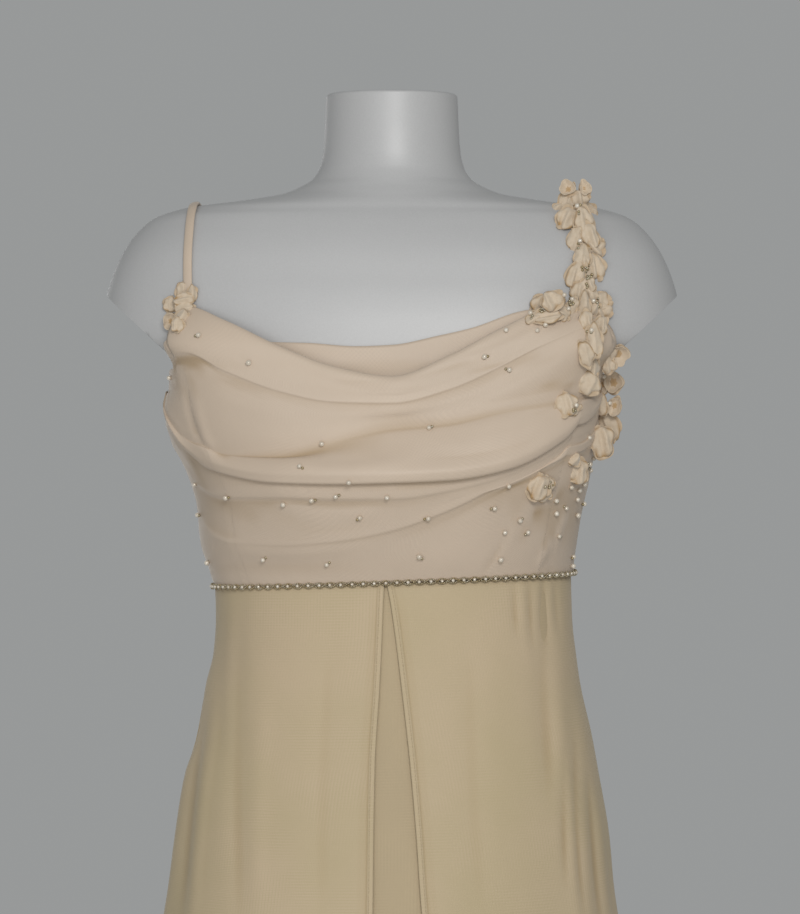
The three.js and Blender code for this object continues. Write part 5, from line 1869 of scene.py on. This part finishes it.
class GOWN_OT_trim(bpy.types.Operator):
    """Adds the beaded trim round the seam under the bust"""
    bl_idname = "gown.trim"
    bl_label = "Beaded trim"

    def execute(self, context):
        middle, outward, loops, pitch, length = trim_paths()
        seeds = grown("trim_seeds", line_mesh("trim_seeds", loops), beads_on_path_tree(), {
            "Radius": sizes().trim_seed, "Pitch": sizes().trim_seed * 2.0, "Detail": 2,
            "Material": gold_finish()})
        finish_piece(seeds, "bead_metal", "bead_trim")
        half = np.interp(np.arange(0.5, length[-1] / pitch) * pitch, length, np.arange(len(length)))
        beads = []
        for at in half:
            i = int(at)
            beads.append((Vector(middle[i]) + Vector((*outward[i], 0)) * TRIM_WEAVE * MM, TRIM_PEARL))
        pearls = grown("trim_pearls", bead_mesh("trim_pearls", beads), beads_on_points_tree(), {
            "Radius": sizes().pearl, "Detail": 3, "Material": pearl_finish()})
        finish_piece(pearls, "bead_metal")
        return {"FINISHED"}


class GOWN_OT_beads(bpy.types.Operator):
    """Adds the single pearls and seed beads, and those at the flowers' hearts"""
    bl_idname = "gown.beads"
    bl_label = "Pearls and seed beads"

    def execute(self, context):
        dice = random.Random(11)
        tree = surface_tree("bodice_drape", "under_skirt_front")
        pearls = []
        seeds = []
        radius = sizes().pearl
        seed = sizes().seed
        for i, (column, row) in enumerate(SINGLE_BEADS):
            place, normal = under_pixel(tree, column, row)
            size = dice.uniform(0.85, 1.1)
            pearls.append((place + normal * radius * size * 0.9, size))
            if i % 3 != 1:
                aside = normal.cross(Vector((0, 0, 1))).normalized() * dice.choice((-1, 1))
                aside = (aside + Vector((0, 0, dice.uniform(-0.9, 0.9)))).normalized()
                seeds.append((place + aside * (radius * size + seed) * 0.95 + normal * seed * 0.9, 1.1))
        blooms = surface_tree("bodice_drape", "flower_strap", *("bloom_" + node for node in PETALS))
        for column, row in HEART_PEARLS:
            place, normal = under_pixel(blooms, column, row)
            pearls.append((place + normal * radius * 0.7, dice.uniform(0.85, 1.0)))
        for column, row, count in SEED_CLUSTERS:
            for _ in range(count):
                aside = dice.gauss(0, CLUSTER_SCATTER[0])
                down = dice.gauss(0, CLUSTER_SCATTER[1])
                place, normal = under_pixel(blooms, column + aside, row + down)
                seeds.append((place + normal * seed * 0.6, dice.uniform(0.9, 1.25)))
        single = grown("single_pearls", bead_mesh("single_pearls", pearls), beads_on_points_tree(), {
            "Radius": radius, "Detail": 3, "Material": pearl_finish()})
        finish_piece(single, "bead_metal")
        small = grown("seed_beads", bead_mesh("seed_beads", seeds), beads_on_points_tree(), {
            "Radius": seed, "Detail": 3, "Material": gold_finish()})
        finish_piece(small, "bead_metal")
        return {"FINISHED"}


def edge_line(side, inward, lift, count=260):
    """A line down a front panel, a distance in from its split edge, in metres."""
    z = np.linspace(BAND_HEIGHT - 4, HEM_HEIGHT + 2, count)
    angle = split_angle(side, z)
    width = sided(SKIRT, angle, z)[0]
    angle = angle + inward / width * (1 if side == "right" else -1)
    return skirt_points(angle, z, -lift) * MM


def hem_line(first, last, up, lift, count):
    angle = np.radians(np.linspace(first, last, count))
    z = np.full(count, HEM_HEIGHT + up)
    return skirt_points(angle, z, -lift) * MM


class GOWN_OT_stitching(bpy.types.Operator):
    """Adds the stitching along the split hems and the skirt's hem"""
    bl_idname = "gown.stitching"
    bl_label = "Stitching"

    def execute(self, context):
        hem = sizes().hem / MM
        lines = [edge_line(side, hem - STITCH_INSET, STITCH_LIFT) for side in ("left", "right")]
        lines.append(hem_line(-179, 179, HEM_STITCH_RISE, HEM_STITCH_LIFT, 900))
        stitches = grown("stitches", line_mesh("stitches", lines), stitches_tree(), {
            "Radius": sizes().thread, "Length": sizes().stitch, "Pitch": sizes().stitch * STITCH_PITCH,
            "Material": thread_finish()})
        finish_piece(stitches, "skirt_chiffon")
        return {"FINISHED"}


def area_light(name, place, target, size, power, colour):
    light = bpy.data.lights.new(name, "AREA")
    light.shape = "RECTANGLE"
    light.size, light.size_y = size
    light.energy = power
    light.color = colour
    obj = new_object(name, light)
    obj.location = place
    obj.rotation_euler = (Vector(target) - Vector(place)).to_track_quat("-Z", "Y").to_euler()
    return obj


class GOWN_OT_stage(bpy.types.Operator):
    """Adds the floor, the studio lights and the camera"""
    bl_idname = "gown.stage"
    bl_label = "Floor, lights and camera"

    def execute(self, context):
        reach = FLOOR_REACH
        corners = [(-reach, -reach, 0), (reach, -reach, 0), (reach, reach, 0), (-reach, reach, 0)]
        floor = new_object("floor", mesh_from("floor", corners, [(0, 1, 2, 3)], smooth=False))
        floor.data.materials.append(floor_finish())
        world = bpy.data.worlds.new("studio")
        world.use_nodes = True
        background = world.node_tree.nodes["Background"]
        background.inputs["Color"].default_value = STUDIO_GREY
        background.inputs["Strength"].default_value = STUDIO_LIGHT
        context.scene.world = world
        for light in LIGHTS:
            area_light(*light)
        camera = new_object("camera", bpy.data.cameras.new("camera"))
        camera.data.sensor_width = SENSOR
        camera.data.lens = SENSOR * CAMERA_DISTANCE / (PICTURE_SIZE[1] * MM_PER_PIXEL * MM)
        camera.data.clip_end = 50
        camera.location = camera_place()
        camera.rotation_euler = (math.pi / 2, 0, 0)
        context.scene.camera = camera
        context.scene.view_settings.view_transform = "Standard"
        return {"FINISHED"}


OPERATORS = (
    GOWN_OT_form, GOWN_OT_stand, GOWN_OT_bodice, GOWN_OT_straps, GOWN_OT_skirt, GOWN_OT_flowers,
    GOWN_OT_trim, GOWN_OT_beads, GOWN_OT_stitching, GOWN_OT_stage)


class GOWN_PT_pieces(bpy.types.Panel):
    """Lists the gown's sizes, colours and pieces"""
    bl_label = "Evening gown"
    bl_idname = "GOWN_PT_pieces"
    bl_space_type = "VIEW_3D"
    bl_region_type = "UI"
    bl_category = "Gown"

    def draw(self, context):
        layout = self.layout
        for group in (context.scene.gown_sizes, context.scene.gown_colours):
            for name in group.__annotations__:
                layout.prop(group, name)
        for operator in OPERATORS:
            layout.operator(operator.bl_idname)


CLASSES = (GownSizes, GownColours, *OPERATORS, GOWN_PT_pieces)
PIECE_ORDER = (
    "stage", "form", "stand", "bodice", "straps", "skirt", "flowers", "trim", "beads", "stitching")


def register():
    for each in CLASSES:
        bpy.utils.register_class(each)
    bpy.types.Scene.gown_sizes = bpy.props.PointerProperty(type=GownSizes)
    bpy.types.Scene.gown_colours = bpy.props.PointerProperty(type=GownColours)


def unregister():
    del bpy.types.Scene.gown_colours
    del bpy.types.Scene.gown_sizes
    for each in reversed(CLASSES):
        bpy.utils.unregister_class(each)


def main():
    register()
    for name in PIECE_ORDER:
        getattr(bpy.ops.gown, name)()


if __name__ == "__main__":
    main()
